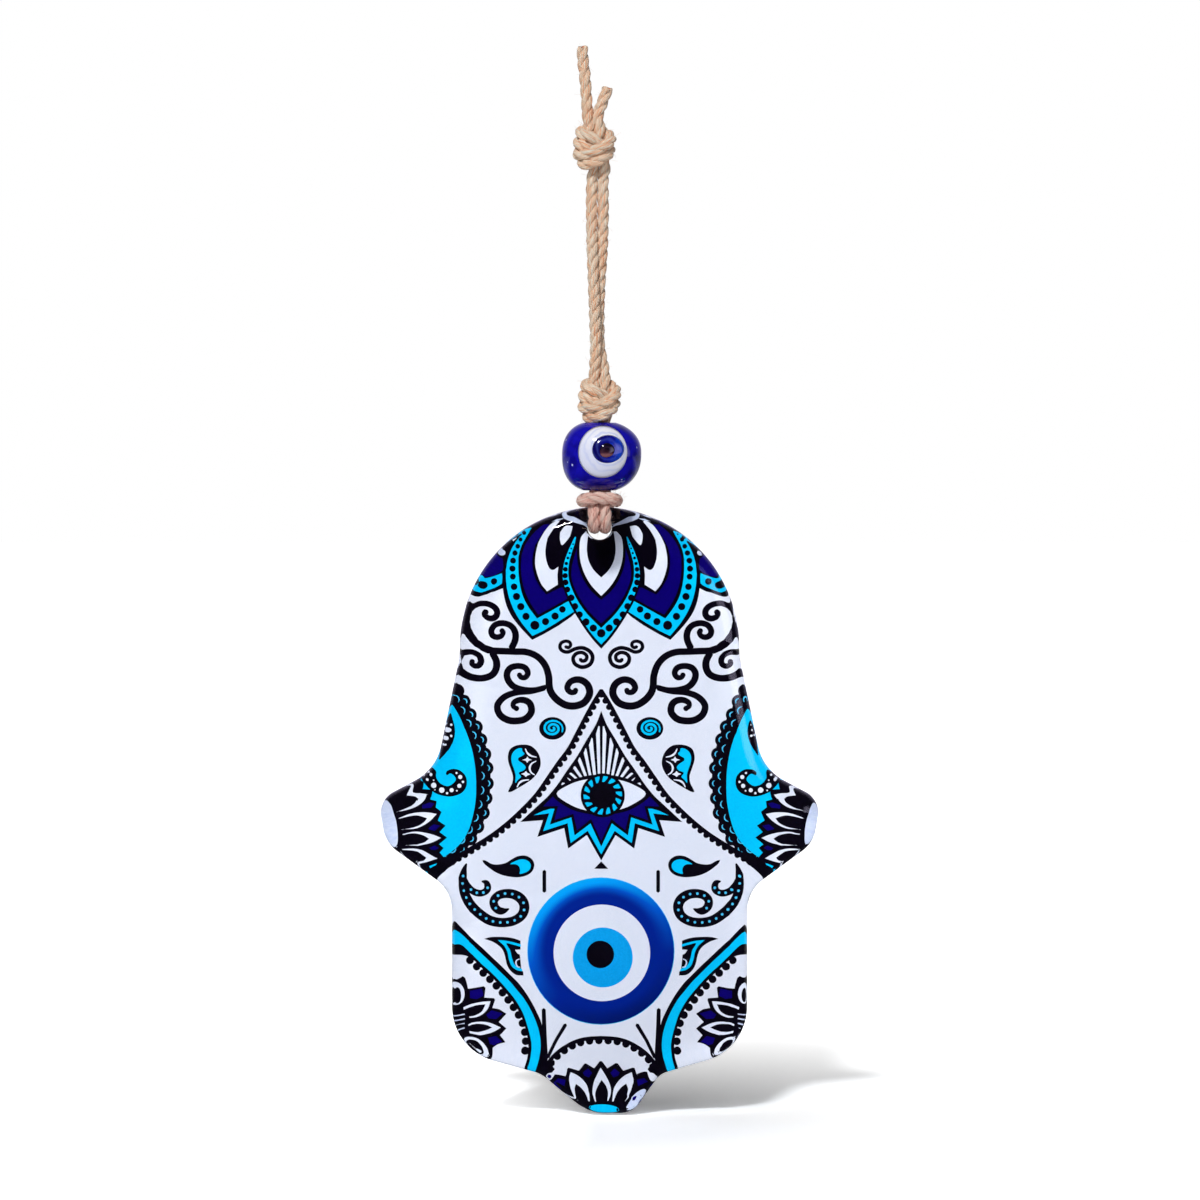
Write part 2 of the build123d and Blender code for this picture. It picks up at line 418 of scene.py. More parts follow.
UNITS_ACROSS_FRAME = 3920
BOARD_UNIT = FRAME_WIDTH / UNITS_ACROSS_FRAME
BOARD_CENTRE = (784.0, 392.0)
BOARD_AXIS = 788.0
WIDEST = GLASS_FRONT + FRONT_EDGE
inks = []


def edge_view(lean):
    """Where the rounded edge shows the film: insets as they are seen, and as they are on the film."""
    steepest, samples = 60, 25
    steep = np.radians(np.linspace(steepest, 0, samples))
    entry = FRONT_EDGE * (1 - np.sin(steep))
    depth = GLASS_FRONT + FRONT_EDGE * (1 - np.cos(steep))
    bent = steep - np.arcsin(np.sin(steep + lean) / GLASS_IOR)
    return entry - (WIDEST - depth) * tan(lean), entry + (FILM_FRONT - depth) * np.tan(bent)


def to_film(points):
    """From the drawing board to the film.

    The board shows the print as it is seen from the front. The rounded edge of the glass bends the
    view inwards, so what is seen near the edge is printed further in.
    """
    board = np.array(points, float)
    across = (board[:, 0] - BOARD_CENTRE[0]) * BOARD_UNIT
    up = (BOARD_CENTRE[1] - board[:, 1]) * BOARD_UNIT
    forward = VIEW_DISTANCE * cos(VIEW_RISE) + up * sin(VIEW_RISE)
    climb = up * cos(VIEW_RISE) - VIEW_DISTANCE * sin(VIEW_RISE)
    slope = np.stack((across, climb), axis=1) / forward[:, None]
    start = np.array((FRAME_CENTRE[0], FRAME_CENTRE[2] + VIEW_DISTANCE * sin(VIEW_RISE) - GLASS_TOP))
    spots = start + slope * (WIDEST + VIEW_DISTANCE * cos(VIEW_RISE))
    apart = spots[:, None, :] - OUTLINE[None, :, :2]
    nearest = (apart**2).sum(axis=2).argmin(axis=1)
    edge, normal = OUTLINE[nearest, :2], OUTLINE[nearest, 2:]
    inset = -((spots - edge) * normal).sum(axis=1)
    lean = np.arctan((slope * normal).sum(axis=1))
    for place in np.nonzero(inset < FRONT_EDGE)[0]:
        seen, shown = edge_view(lean[place])
        beyond = min(inset[place] - seen[0], 0) + max(inset[place] - seen[-1], 0)
        moved = np.interp(inset[place], seen, shown) + beyond - inset[place]
        spots[place] -= normal[place] * moved
    return spots + np.array((0.0, GLASS_TOP))


def other_side(points):
    """The mirror image of points about the axis of the board."""
    return [(2 * BOARD_AXIS - x, y) for x, y in points]


def paint(ink, points, both=True):
    """Lays one shape of ink on the print, and its mirror image unless it is told not to."""
    inks.append((ink, to_film(points)))
    if both:
        inks.append((ink, to_film(other_side(points))))


def whole(half):
    """A shape that is symmetric about the axis, from its left half, top to bottom."""
    return half + other_side(half[::-1])


def through(points, steps=5, closed=False):
    """A smooth line through the given points."""
    spots = [Vector(p) for p in points]
    if closed:
        spots = [spots[-1]] + spots + spots[:2]
    else:
        spots = [2 * spots[0] - spots[1]] + spots + [2 * spots[-1] - spots[-2]]
    line = []
    for a, b, c, d in zip(spots, spots[1:], spots[2:], spots[3:]):
        for step in range(steps):
            share = step / steps
            square, cube = 2 * a - 5 * b + 4 * c - d, 3 * b - a - 3 * c + d
            line.append(0.5 * (2 * b + (c - a) * share + square * share**2 + cube * share**3))
    if not closed:
        line.append(spots[-2])
    return [(p.x, p.y) for p in line]


def disc(x, y, radius, flat=1.0, turn=0.0):
    """A round, or an oval that is flattened and turned."""
    sides = max(9, min(64, round(radius * 1.2)))
    points = []
    for side in range(sides):
        angle = 2 * pi * side / sides
        across, along = radius * cos(angle), radius * flat * sin(angle)
        points.append((
            x + across * cos(turn) - along * sin(turn), y + across * sin(turn) + along * cos(turn),
        ))
    return points


def stroke(points, *widths):
    """A brush line of changing width with round ends."""
    line = [Vector(p) for p in points]
    last = len(line) - 1
    left, right = [], []
    for place, spot in enumerate(line):
        along = (line[min(place + 1, last)] - line[max(place - 1, 0)]).normalized()
        share = place / last * (len(widths) - 1)
        index = min(int(share), len(widths) - 2) if len(widths) > 1 else 0
        width = widths[0]
        if len(widths) > 1:
            width = widths[index] + (widths[index + 1] - widths[index]) * (share - index)
        side = Vector((-along.y, along.x)) * width / 2
        left.append(spot + side)
        right.append(spot - side)
        cap = along * width / 2 * 0.8
        if place == 0:
            start = [spot - cap]
        if place == last:
            end = [spot + cap]
    return [(p.x, p.y) for p in start + left + end + right[::-1]]


def along_line(points, spacing, start=0.0):
    """Evenly spaced places on a line, each with the direction to its right-hand side."""
    line = np.array(points, float)
    runs = np.hypot(*np.diff(line, axis=0).T)
    reach = np.concatenate(([0], np.cumsum(runs)))
    places = []
    for far in np.arange(start, reach[-1], spacing):
        index = min(np.searchsorted(reach, far, side="right") - 1, len(runs) - 1)
        share = (far - reach[index]) / runs[index]
        spot = line[index] + (line[index + 1] - line[index]) * share
        along = (line[index + 1] - line[index]) / runs[index]
        places.append((spot[0], spot[1], -along[1], along[0]))
    return places


def spiral(x, y, outer, inner, turns, start):
    """A line that winds from the outer radius to the inner one."""
    steps = round(abs(turns) * 16)
    line = []
    for step in range(steps + 1):
        share = step / steps
        angle = start + 2 * pi * turns * share
        radius = outer + (inner - outer) * share
        line.append((x + radius * cos(angle), y + radius * sin(angle)))
    return line


def beads(ink, line, spacing, radius, aside, both=True):
    """Round scallops along one side of a line."""
    for x, y, right, down in along_line(line, spacing, spacing / 2):
        paint(ink, disc(x + right * aside, y + down * aside, radius), both)


def dots(ink, spots):
    """Round dots, each given by its place and radius."""
    for x, y, radius in spots:
        paint(ink, disc(x, y, radius))


def shapes(ink, outlines):
    """Several shapes in one ink."""
    for outline in outlines:
        paint(ink, outline)


def flame(tip, upper, lower, core_tip, core_upper, core_lower, both=True):
    """A petal drawn as a bright edge round a dark heart, open at its foot."""
    outer = through([tip] + upper)[::-1] + through([tip] + lower)[1:]
    inner = through([core_tip] + core_lower)[::-1] + through([core_tip] + core_upper)[1:]
    paint("white", outer + inner, both)


def top_lotus():
    """The hanging lotus: two outer petals, two side petals and the middle one, each in rings of colour."""
    paint("black", [
        (640, 20), (400, 20), (220, 200), (240, 340), (330, 376), (376, 381), (388, 382), (430, 368),
        (466, 354), (500, 330), (500, 200), (560, 130),
    ])
    paint("cyan", [
        (463, 305), (430, 317), (407, 322), (400, 300), (330, 290), (290, 350), (340, 366), (378, 364),
        (396, 368), (430, 356), (463, 339),
    ])
    paint("black", disc(438, 332, 11))
    paint("black", disc(401, 344, 16, 0.8))
    paint("navy", [(466, 258), (468, 294), (440, 312), (406, 317), (396, 296), (420, 262), (446, 246)])
    # A painted highlight: the small pale spot where the glass rim catches the light.
    paint("pale", disc(463, 238, 12, 0.8))

    left = [
        (562, 523), (520, 478), (492, 440), (475, 400), (466, 350), (466, 300), (473, 262), (486, 226),
        (508, 194), (545, 158),
    ]
    paint("black", through(left) + [(640, 60), (720, 60), (720, 420), (690, 447), (650, 475), (600, 504)])
    left = [
        (563, 510), (530, 470), (505, 430), (487, 385), (478, 340), (477, 300), (482, 262), (495, 226),
        (512, 198), (534, 172), (555, 140),
    ]
    paint("cyan", through(left) + [(600, 120), (720, 300), (700, 430), (640, 468), (600, 492)])
    left = [
        (578, 453), (552, 418), (532, 380), (521, 335), (517, 290), (519, 245), (529, 212), (543, 186),
        (560, 156), (580, 110),
    ]
    paint("black", through(left) + [(720, 60), (720, 375), (670, 402), (620, 430)])
    left = [
        (582, 440), (560, 408), (541, 370), (530, 330), (526, 290), (528, 250), (538, 216), (554, 190),
        (575, 166), (600, 146),
    ]
    paint("navy", through(left) + [(640, 140), (720, 180), (720, 362), (670, 392), (620, 420)])
    left = [
        (608, 375), (588, 350), (571, 318), (563, 280), (564, 248), (573, 214), (591, 182), (612, 154),
        (640, 122),
    ]
    paint("black", through(left) + [(720, 60), (720, 350), (655, 352)])
    left = [
        (611, 364), (592, 340), (579, 308), (572, 275), (574, 240), (583, 206), (598, 176), (620, 147),
        (644, 132),
    ]
    right = [
        (652, 135), (630, 162), (613, 192), (606, 225), (607, 255), (615, 282), (624, 293), (634, 293),
        (648, 283),
    ]
    paint("white", through(left) + through(right) + [(645, 310), (646, 342)])
    almond = [
        (704, 153), (690, 178), (674, 200), (660, 213), (654, 200), (653, 180), (660, 162), (672, 150),
        (688, 150),
    ]
    paint("white", through(almond, 3, True))
    side_dots = [
        (536, 174, 7), (524, 195, 7), (515, 217, 8), (506, 239, 9), (500, 264, 10), (498, 290, 10),
        (499, 316, 10), (503, 349, 11), (511, 381, 12), (525, 414, 12), (542, 446, 12), (571, 475, 15),
        (606, 463, 12), (637, 445, 12), (661, 423, 11),
    ]
    dots("black", side_dots)

    rings = [
        ("black", [
            (706, 100), (690, 170), (672, 230), (658, 280), (655, 320), (664, 355), (685, 405), (720, 465),
            (755, 515), (788, 552),
        ]),
        ("cyan", [
            (702, 186), (692, 206), (678, 238), (666, 275), (662, 315), (670, 352), (692, 402), (726, 459),
            (760, 507), (788, 538),
        ]),
        ("black", [
            (712, 100), (705, 190), (692, 236), (682, 275), (681, 315), (690, 350), (710, 393), (742, 438),
            (788, 484),
        ]),
        ("navy", [
            (724, 130), (713, 205), (701, 248), (692, 285), (691, 318), (700, 350), (719, 388), (748, 430),
            (788, 469),
        ]),
        ("black", [(716, 100), (712, 190), (708, 240), (714, 285), (730, 326), (755, 363), (788, 392)]),
        ("white", [(738, 168), (722, 188), (717, 222), (720, 265), (733, 306), (756, 345), (788, 379)]),
        ("black", [(752, 150), (744, 190), (741, 230), (747, 264), (763, 294), (788, 319)]),
    ]
    for ink, half in rings:
        paint(ink, whole(through(half)), both=False)
    paint("black", disc(788, 501, 14), both=False)
    petal_dots = [
        (762, 484, 12), (738, 464, 12), (717, 440, 11), (702, 413, 11), (690, 385, 11), (677, 358, 10),
        (671, 335, 10), (670, 313, 9), (671, 292, 8), (674, 273, 6), (679, 255, 5), (685, 239, 4),
        (690, 224, 3), (696, 210, 3),
    ]
    dots("black", petal_dots)

    paint("black", whole([(600, 40), (640, 126), (668, 146), (700, 152), (788, 162)]), both=False)
    # A painted highlight: the short pale streak of light on the glass near its top edge.
    paint("pale", [(627, 136), (644, 128), (668, 124), (652, 132)])
    paint("pale", whole([(646, 80), (650, 112), (668, 127), (700, 139), (740, 149), (788, 153)]), both=False)
    stem = [(666, 40), (664, 104), (676, 116), (698, 120), (712, 127), (740, 142), (788, 147)]
    paint("black", whole(stem), both=False)


def scrolls():
    """Curling tendrils under the lotus, each with a rounded end."""
    paint("black", [
        (330, 372), (359, 390), (366, 404), (384, 402), (392, 412), (378, 419), (367, 430), (361, 446),
        (359, 465), (363, 484), (372, 502), (388, 523), (410, 539), (440, 549), (445, 571), (415, 567),
        (395, 558), (375, 545), (358, 529), (346, 513), (336, 503), (321, 511), (270, 520), (270, 420),
    ])
    paint("black", [
        (285, 535), (313, 551), (319, 566), (338, 560), (344, 570), (336, 584), (332, 600), (337, 616),
        (352, 632), (345, 650), (320, 634), (309, 622), (298, 629), (260, 640), (250, 560),
    ])
    tendrils = (
        ([
            (372, 412), (395, 404), (420, 406), (440, 417), (448, 433), (442, 448), (427, 453), (412, 447),
            (406, 435), (413, 429),
        ], (18, 19, 21, 21, 18, 15)),
        ([
            (495, 550), (506, 526), (508, 505), (501, 486), (486, 473), (463, 468), (441, 474), (429, 491),
            (432, 507), (446, 514), (461, 510), (468, 498), (462, 491),
        ], (22, 22, 20, 20, 20, 18, 14)),
        ([
            (425, 558), (500, 561), (545, 563), (580, 578), (604, 605), (616, 640), (618, 672), (624, 694),
            (642, 717), (670, 735), (700, 739), (730, 729), (747, 707), (750, 688), (742, 668), (724, 655),
            (704, 653), (686, 661), (677, 679), (686, 693), (701, 694), (706, 686),
        ], (22, 22, 23, 24, 24, 24, 22, 20, 15)),
        ([
            (432, 566), (445, 592), (444, 618), (430, 638), (400, 648), (365, 645), (335, 631), (312, 612),
        ], (22, 24, 23, 22, 24, 30)),
        ([
            (325, 568), (345, 563), (368, 563), (389, 574), (396, 592), (389, 606), (376, 608), (365, 601),
            (366, 592),
        ], (22, 18, 20, 18, 15)),
        ([
            (606, 676), (570, 686), (535, 686), (503, 676), (484, 655), (480, 632), (492, 614), (516, 608),
            (539, 614), (548, 631), (540, 645), (526, 645), (519, 636),
        ], (14, 20, 22, 22, 20, 20, 18, 15)),
        ([
            (603, 683), (560, 692), (510, 695), (472, 709), (449, 736), (455, 765), (478, 783), (505, 788),
            (538, 782), (559, 760), (557, 735), (543, 722), (522, 719), (503, 727), (501, 740), (513, 748),
        ], (12, 20, 22, 23, 23, 23, 22, 18, 15)),
        ([
            (671, 545), (681, 548), (688, 540), (684, 530), (671, 527), (657, 533), (653, 547), (662, 559),
            (680, 562), (703, 552), (727, 549), (750, 560), (760, 580), (751, 603), (726, 612), (703, 602),
            (696, 583), (706, 568), (725, 564), (740, 574), (738, 588), (726, 592), (719, 586),
        ], (11, 11, 12, 13, 13, 12, 12)),
    )
    for line, widths in tendrils:
        paint("black", stroke(through(line), *widths))
    for x, y in ((411, 432), (464, 493), (366, 594), (704, 688), (521, 638), (511, 747)):
        paint("black", disc(x, y, 9))
    for x in (629, 947):
        paint("black", disc(x, 812, 44, 0.84), both=False)
        coil = [(across, 812 + (down - 812) * 0.84) for across, down in spiral(x, 812, 34, 4, -2.2, 0.4)]
        paint("cyan", stroke(coil, 5, 7.5, 8, 7.5, 7), both=False)


def eye_panel():
    """The beaded roof, the rays, the eye and the fringe under it."""
    roof = through([
        (788, 688), (763, 728), (735, 779), (709, 829), (683, 878), (648, 925), (611, 979), (576, 1029),
        (534, 1074), (487, 1118), (437, 1158), (386, 1192), (330, 1226), (250, 1272),
    ])
    paint("black", stroke(roof, 13, 13, 13, 14, 20))
    beads("black", roof, 24, 10, -7)
    rays = [
        (788, 755), (770, 800), (740, 850), (711, 900), (676, 950), (642, 1000), (599, 1050), (545, 1100),
        (523, 1118),
    ]
    paint("black", whole(through(rays, 3) + [(600, 1112)])[:-1], both=False)
    shapes("white", [
        [(779, 804), (783, 806), (785, 962), (777, 963), (771, 830)],
        [(757, 842), (760, 846), (771, 964), (762, 966), (748, 866)],
        [(737, 876), (740, 882), (756, 966), (748, 968), (731, 892)],
        [(717, 906), (721, 912), (742, 968), (734, 971), (712, 918)],
        [(700, 935), (704, 937), (727, 971), (719, 974), (696, 943)],
        [(688, 957), (692, 958), (713, 977), (706, 980), (683, 960)],
        [(676, 973), (680, 974), (694, 985), (689, 988)],
        [(661, 989), (672, 992), (671, 997), (657, 997)],
    ])

    fringe = [
        ("black", [
            (640, 1010), (523, 1118), (601, 1102), (579, 1167), (667, 1138), (680, 1205), (741, 1161),
            (788, 1244),
        ]),
        ("cyan", [
            (640, 1070), (600, 1081), (568, 1096), (618, 1090), (598, 1148), (678, 1122), (688, 1187),
            (744, 1147), (788, 1224),
        ]),
        ("black", [
            (610, 1040), (590, 1074), (635, 1075), (620, 1127), (690, 1103), (701, 1162), (753, 1123),
            (788, 1199),
        ]),
        ("navy", [
            (628, 1036), (598, 1067), (647, 1066), (635, 1112), (697, 1091), (709, 1145), (755, 1108),
            (788, 1180),
        ]),
    ]
    for ink, half in fringe:
        paint(ink, whole(half), both=False)
    paint("black", through([
        (628, 1028), (680, 986), (735, 968), (788, 963), (841, 968), (896, 986), (948, 1028), (896, 1072),
        (841, 1090), (788, 1095), (735, 1090), (680, 1072),
    ], 4, True), both=False)
    paint("white", through([
        (642, 1026), (688, 994), (738, 979), (788, 975), (838, 979), (888, 994), (934, 1026), (888, 1062),
        (838, 1080), (788, 1085), (738, 1080), (688, 1062),
    ], 4, True), both=False)
    paint("black", disc(793, 1031, 72), both=False)
    paint("cyan", disc(793, 1031, 63), both=False)
    for tick in range(14):
        angle = 2 * pi * tick / 14
        near = (793 + 40 * cos(angle), 1031 + 40 * sin(angle))
        middle = (793 + 54 * cos(angle + 0.12), 1031 + 54 * sin(angle + 0.12))
        far = (793 + 66 * cos(angle + 0.16), 1031 + 66 * sin(angle + 0.16))
        paint("black", stroke([near, middle, far], 13, 10, 14), both=False)
    paint("black", disc(793, 1031, 44), both=False)
    paint("black", [(765, 1271), (811, 1271), (788, 1247)], both=False)


def palm_leaves():
    """Paisleys, leaves and dotted scrolls on the open ground."""
    paint("black", through([
        (530, 865), (555, 868), (575, 883), (587, 905), (590, 930), (581, 955), (565, 975), (545, 990),
        (520, 1005), (497, 1018), (484, 1020), (488, 1008), (497, 990), (499, 968), (492, 945), (484, 920),
        (483, 900), (490, 880), (507, 869),
    ], 4, True))
    paint("cyan", through([
        (528, 877), (513, 879), (500, 890), (494, 906), (496, 926), (503, 946), (508, 966), (507, 990),
        (516, 980), (526, 970), (518, 957), (535, 949), (541, 938), (530, 926), (518, 918), (517, 909),
        (528, 903), (537, 895), (530, 886),
    ], 3, True))
    shapes("white", [
        [(530, 915), (542, 911), (547, 904), (551, 911), (561, 915), (551, 918), (546, 925), (541, 918)],
        [(526, 961), (537, 957), (542, 951), (547, 958), (557, 962), (547, 966), (541, 971), (536, 965)],
    ])
    for line in (
        [(540, 879), (547, 893), (559, 902), (576, 906)],
        [(575, 919), (561, 927), (554, 940), (558, 955), (570, 964)],
        [(513, 1004), (520, 991), (532, 983), (551, 980)],
    ):
        paint("white", stroke(through(line), 3, 7, 3))
    paint("black", through([
        (400, 1243), (412, 1245), (430, 1255), (450, 1257), (475, 1252), (495, 1240), (515, 1230),
        (540, 1228), (560, 1238), (569, 1255), (565, 1275), (550, 1290), (525, 1298), (495, 1298),
        (465, 1292), (440, 1281), (420, 1267), (405, 1254),
    ], 4, True))
    paint("cyan", through([
        (490, 1256), (505, 1247), (525, 1240), (545, 1243), (557, 1255), (556, 1270), (545, 1281),
        (522, 1288), (523, 1276), (519, 1263), (507, 1256),
    ], 3, True))
    scroll = through([
        (347, 1255), (340, 1275), (336, 1300), (337, 1330), (345, 1360), (362, 1390), (390, 1418),
        (425, 1440), (465, 1447), (502, 1441), (528, 1423), (537, 1396), (528, 1372), (505, 1356),
        (477, 1352), (452, 1358), (437, 1375), (440, 1395), (455, 1408), (472, 1408), (486, 1402),
    ])
    paint("black", stroke(scroll, 6, 24, 30, 32, 33, 31, 30, 33, 33, 30, 28, 28, 24, 5))
    hook = through([
        (340, 1300), (352, 1327), (370, 1345), (393, 1351), (411, 1344), (417, 1330), (411, 1316),
        (398, 1312),
    ])
    paint("black", stroke(hook, 14, 22, 23, 22, 24, 20, 5))
    for line, first, last, spacing in ((scroll, 9, 88, 24), (hook, 8, 26, 22)):
        for spot in along_line(line[first:last], spacing):
            paint("sky", disc(*spot[:2], 4.5))
    top = through([(405, 1500), (430, 1494), (470, 1494), (500, 1498), (524, 1506)])
    foot = through([
        (534, 1620), (510, 1618), (492, 1605), (480, 1585), (473, 1555), (465, 1535), (450, 1520),
        (430, 1508),
    ])
    paint("black", top + foot)
    paint("ground", [
        (545, 1500), (524, 1506), (524, 1535), (506, 1536), (514, 1548), (522, 1552), (527, 1600),
        (545, 1625),
    ])
    top = through([(450, 1504), (475, 1506), (500, 1511), (525, 1518)])
    heart = through([
        (525, 1526), (500, 1519), (478, 1515), (490, 1537), (496, 1562), (504, 1583), (517, 1594),
        (529, 1599),
    ])
    foot = through([(531, 1606), (512, 1602), (495, 1589), (486, 1566), (481, 1542), (470, 1522)])
    paint("cyan", top + heart + foot)
    paint("pale", stroke(through([(521, 1566), (512, 1570), (509, 1580), (515, 1591), (523, 1593)]), 3, 5, 3))
    paint("black", stroke([(602, 1279), (602, 1345)], 12))
    paint("black", stroke([(600, 1731), (602, 1809), (604, 1894)], 13, 15, 20))
    paint("black", stroke([(671, 1781), (640, 1832), (614, 1886)], 12, 11, 11))


def side_panels():
    """The cyan side panels with their border of scales, leaf and dotted comma."""
    scales = [
        (303, 662), (318, 690), (339, 725), (358, 768), (378, 808), (393, 850), (406, 897), (413, 942),
        (414, 992), (410, 1040), (401, 1088), (383, 1133), (360, 1172), (330, 1206), (297, 1236),
        (262, 1262),
    ]
    inner = through([
        (293, 728), (305, 740), (326, 776), (345, 820), (360, 862), (370, 902), (377, 950), (379, 1000),
        (377, 1050), (368, 1100), (352, 1150), (328, 1188), (292, 1220), (240, 1255),
    ])
    paint("black", disc(308, 656, 10, 1.4))
    paint("black", through(scales) + [(140, 1340), (140, 690)])
    paint("black", stroke(through(scales), 24))
    for x, y in scales[1:]:
        paint("black", disc(x, y, 23))
    paint("cyan", inner + [(140, 1280), (140, 722), (286, 736)])
    for before, this in zip(scales[1:], scales[2:]):
        away = atan2(before[0] - this[0], this[1] - before[1])
        middle = ((before[0] + this[0]) / 2 - 22 * cos(away), (before[1] + this[1]) / 2 - 22 * sin(away))
        for (x, y), radius in ((this, 10), (middle, 14)):
            turns = [away + turn for turn in (-1.1, -0.55, 0, 0.55, 1.1)]
            arc = [(x + radius * cos(turn), y + radius * sin(turn)) for turn in turns]
            paint("sky", stroke(arc, 2, 4.5, 2))
    paint("black", through([
        (290, 760), (303, 785), (310, 815), (308, 842), (296, 872), (268, 906), (240, 920), (215, 860),
        (240, 790),
    ], 4, True))
    leaf_dots = (
        (286, 818, 13, 0.6), (283, 845, 7, 1), (298, 801, 4, 1), (280, 798, 4, 1), (298, 837, 4, 1),
        (277, 866, 6, 0.6),
    )
    for x, y, radius, flat in leaf_dots:
        paint("white", disc(x, y, radius, flat))
    paint("black", through([
        (247, 950), (248, 972), (262, 992), (285, 1001), (304, 992), (313, 978), (305, 965), (295, 960),
        (283, 965), (281, 954), (298, 945), (323, 948), (343, 965), (349, 988), (343, 1011), (325, 1027),
        (295, 1035), (265, 1031), (240, 1021), (223, 1006), (203, 983), (190, 960), (220, 935),
    ], 3, True))
    comma_dots = [
        (231, 963, 5), (219, 979, 5), (240, 998, 9), (267, 1014, 9), (284, 1024, 4), (299, 1014, 7),
        (316, 1016, 3), (324, 1000, 7), (336, 987, 4), (327, 971, 7), (315, 958, 3.5), (245, 1014, 3),
        (240, 981, 2.5),
    ]
    dots("white", comma_dots)


def thumb_lotus():
    """The lotus on each thumb, spreading from its tip."""
    paint("black", [
        (20, 1040), (120, 965), (172, 1000), (183, 988), (208, 986), (204, 1010), (236, 1012), (229, 1044),
        (250, 1050), (247, 1070), (266, 1085), (254, 1113), (279, 1130), (260, 1151), (284, 1169),
        (258, 1191), (273, 1203), (260, 1218), (274, 1234), (300, 1225), (300, 1262), (240, 1310),
        (120, 1310), (20, 1230),
    ])
    flame((223, 1028), [(201, 1024), (172, 1021), (174, 999), (168, 997), (152, 1029)],
          [(207, 1050), (186, 1066), (162, 1076), (122, 1087)],
          (190, 1042), [(178, 1034), (152, 1031)], [(184, 1054), (170, 1065), (150, 1075), (122, 1088)])
    flame((250, 1092), [(221, 1087), (189, 1087), (158, 1093), (128, 1105)],
          [(229, 1114), (205, 1130), (178, 1140), (138, 1142)],
          (219, 1106), [(189, 1097), (162, 1099), (129, 1107)], [(205, 1122), (178, 1135), (138, 1143)])
    flame((264, 1170), [(236, 1159), (205, 1152), (174, 1150), (140, 1157)],
          [(240, 1183), (213, 1191), (184, 1194), (150, 1193)],
          (225, 1173), [(205, 1161), (174, 1155), (141, 1159)], [(209, 1185), (188, 1190), (150, 1194)])
    flame((254, 1236), [(229, 1222), (205, 1210), (174, 1204), (138, 1206)],
          [(225, 1246), (201, 1252), (184, 1256), (196, 1280), (190, 1282), (174, 1254)],
          (217, 1234), [(201, 1222), (182, 1212), (139, 1208)], [(209, 1243), (189, 1248), (173, 1252)])
    shapes("navy", [
        [(203, 1063), (228, 1054), (243, 1058), (232, 1071), (203, 1074)],
        [(222, 1141), (229, 1134), (240, 1126), (262, 1130), (244, 1147)],
        [(226, 1203), (244, 1195), (257, 1203), (244, 1210), (233, 1209)],
    ])
    paint("cyan", [(226, 1262), (252, 1252), (248, 1258), (230, 1268)])
    # A painted highlight: the pale patch at each thumb tip where light shines through the thick glass edge.
    paint("pale", through([
        (10, 1058), (76, 1058), (92, 1062), (107, 1083), (118, 1114), (124, 1150), (124, 1180), (119, 1200),
        (106, 1206), (10, 1206),
    ], 3, True))


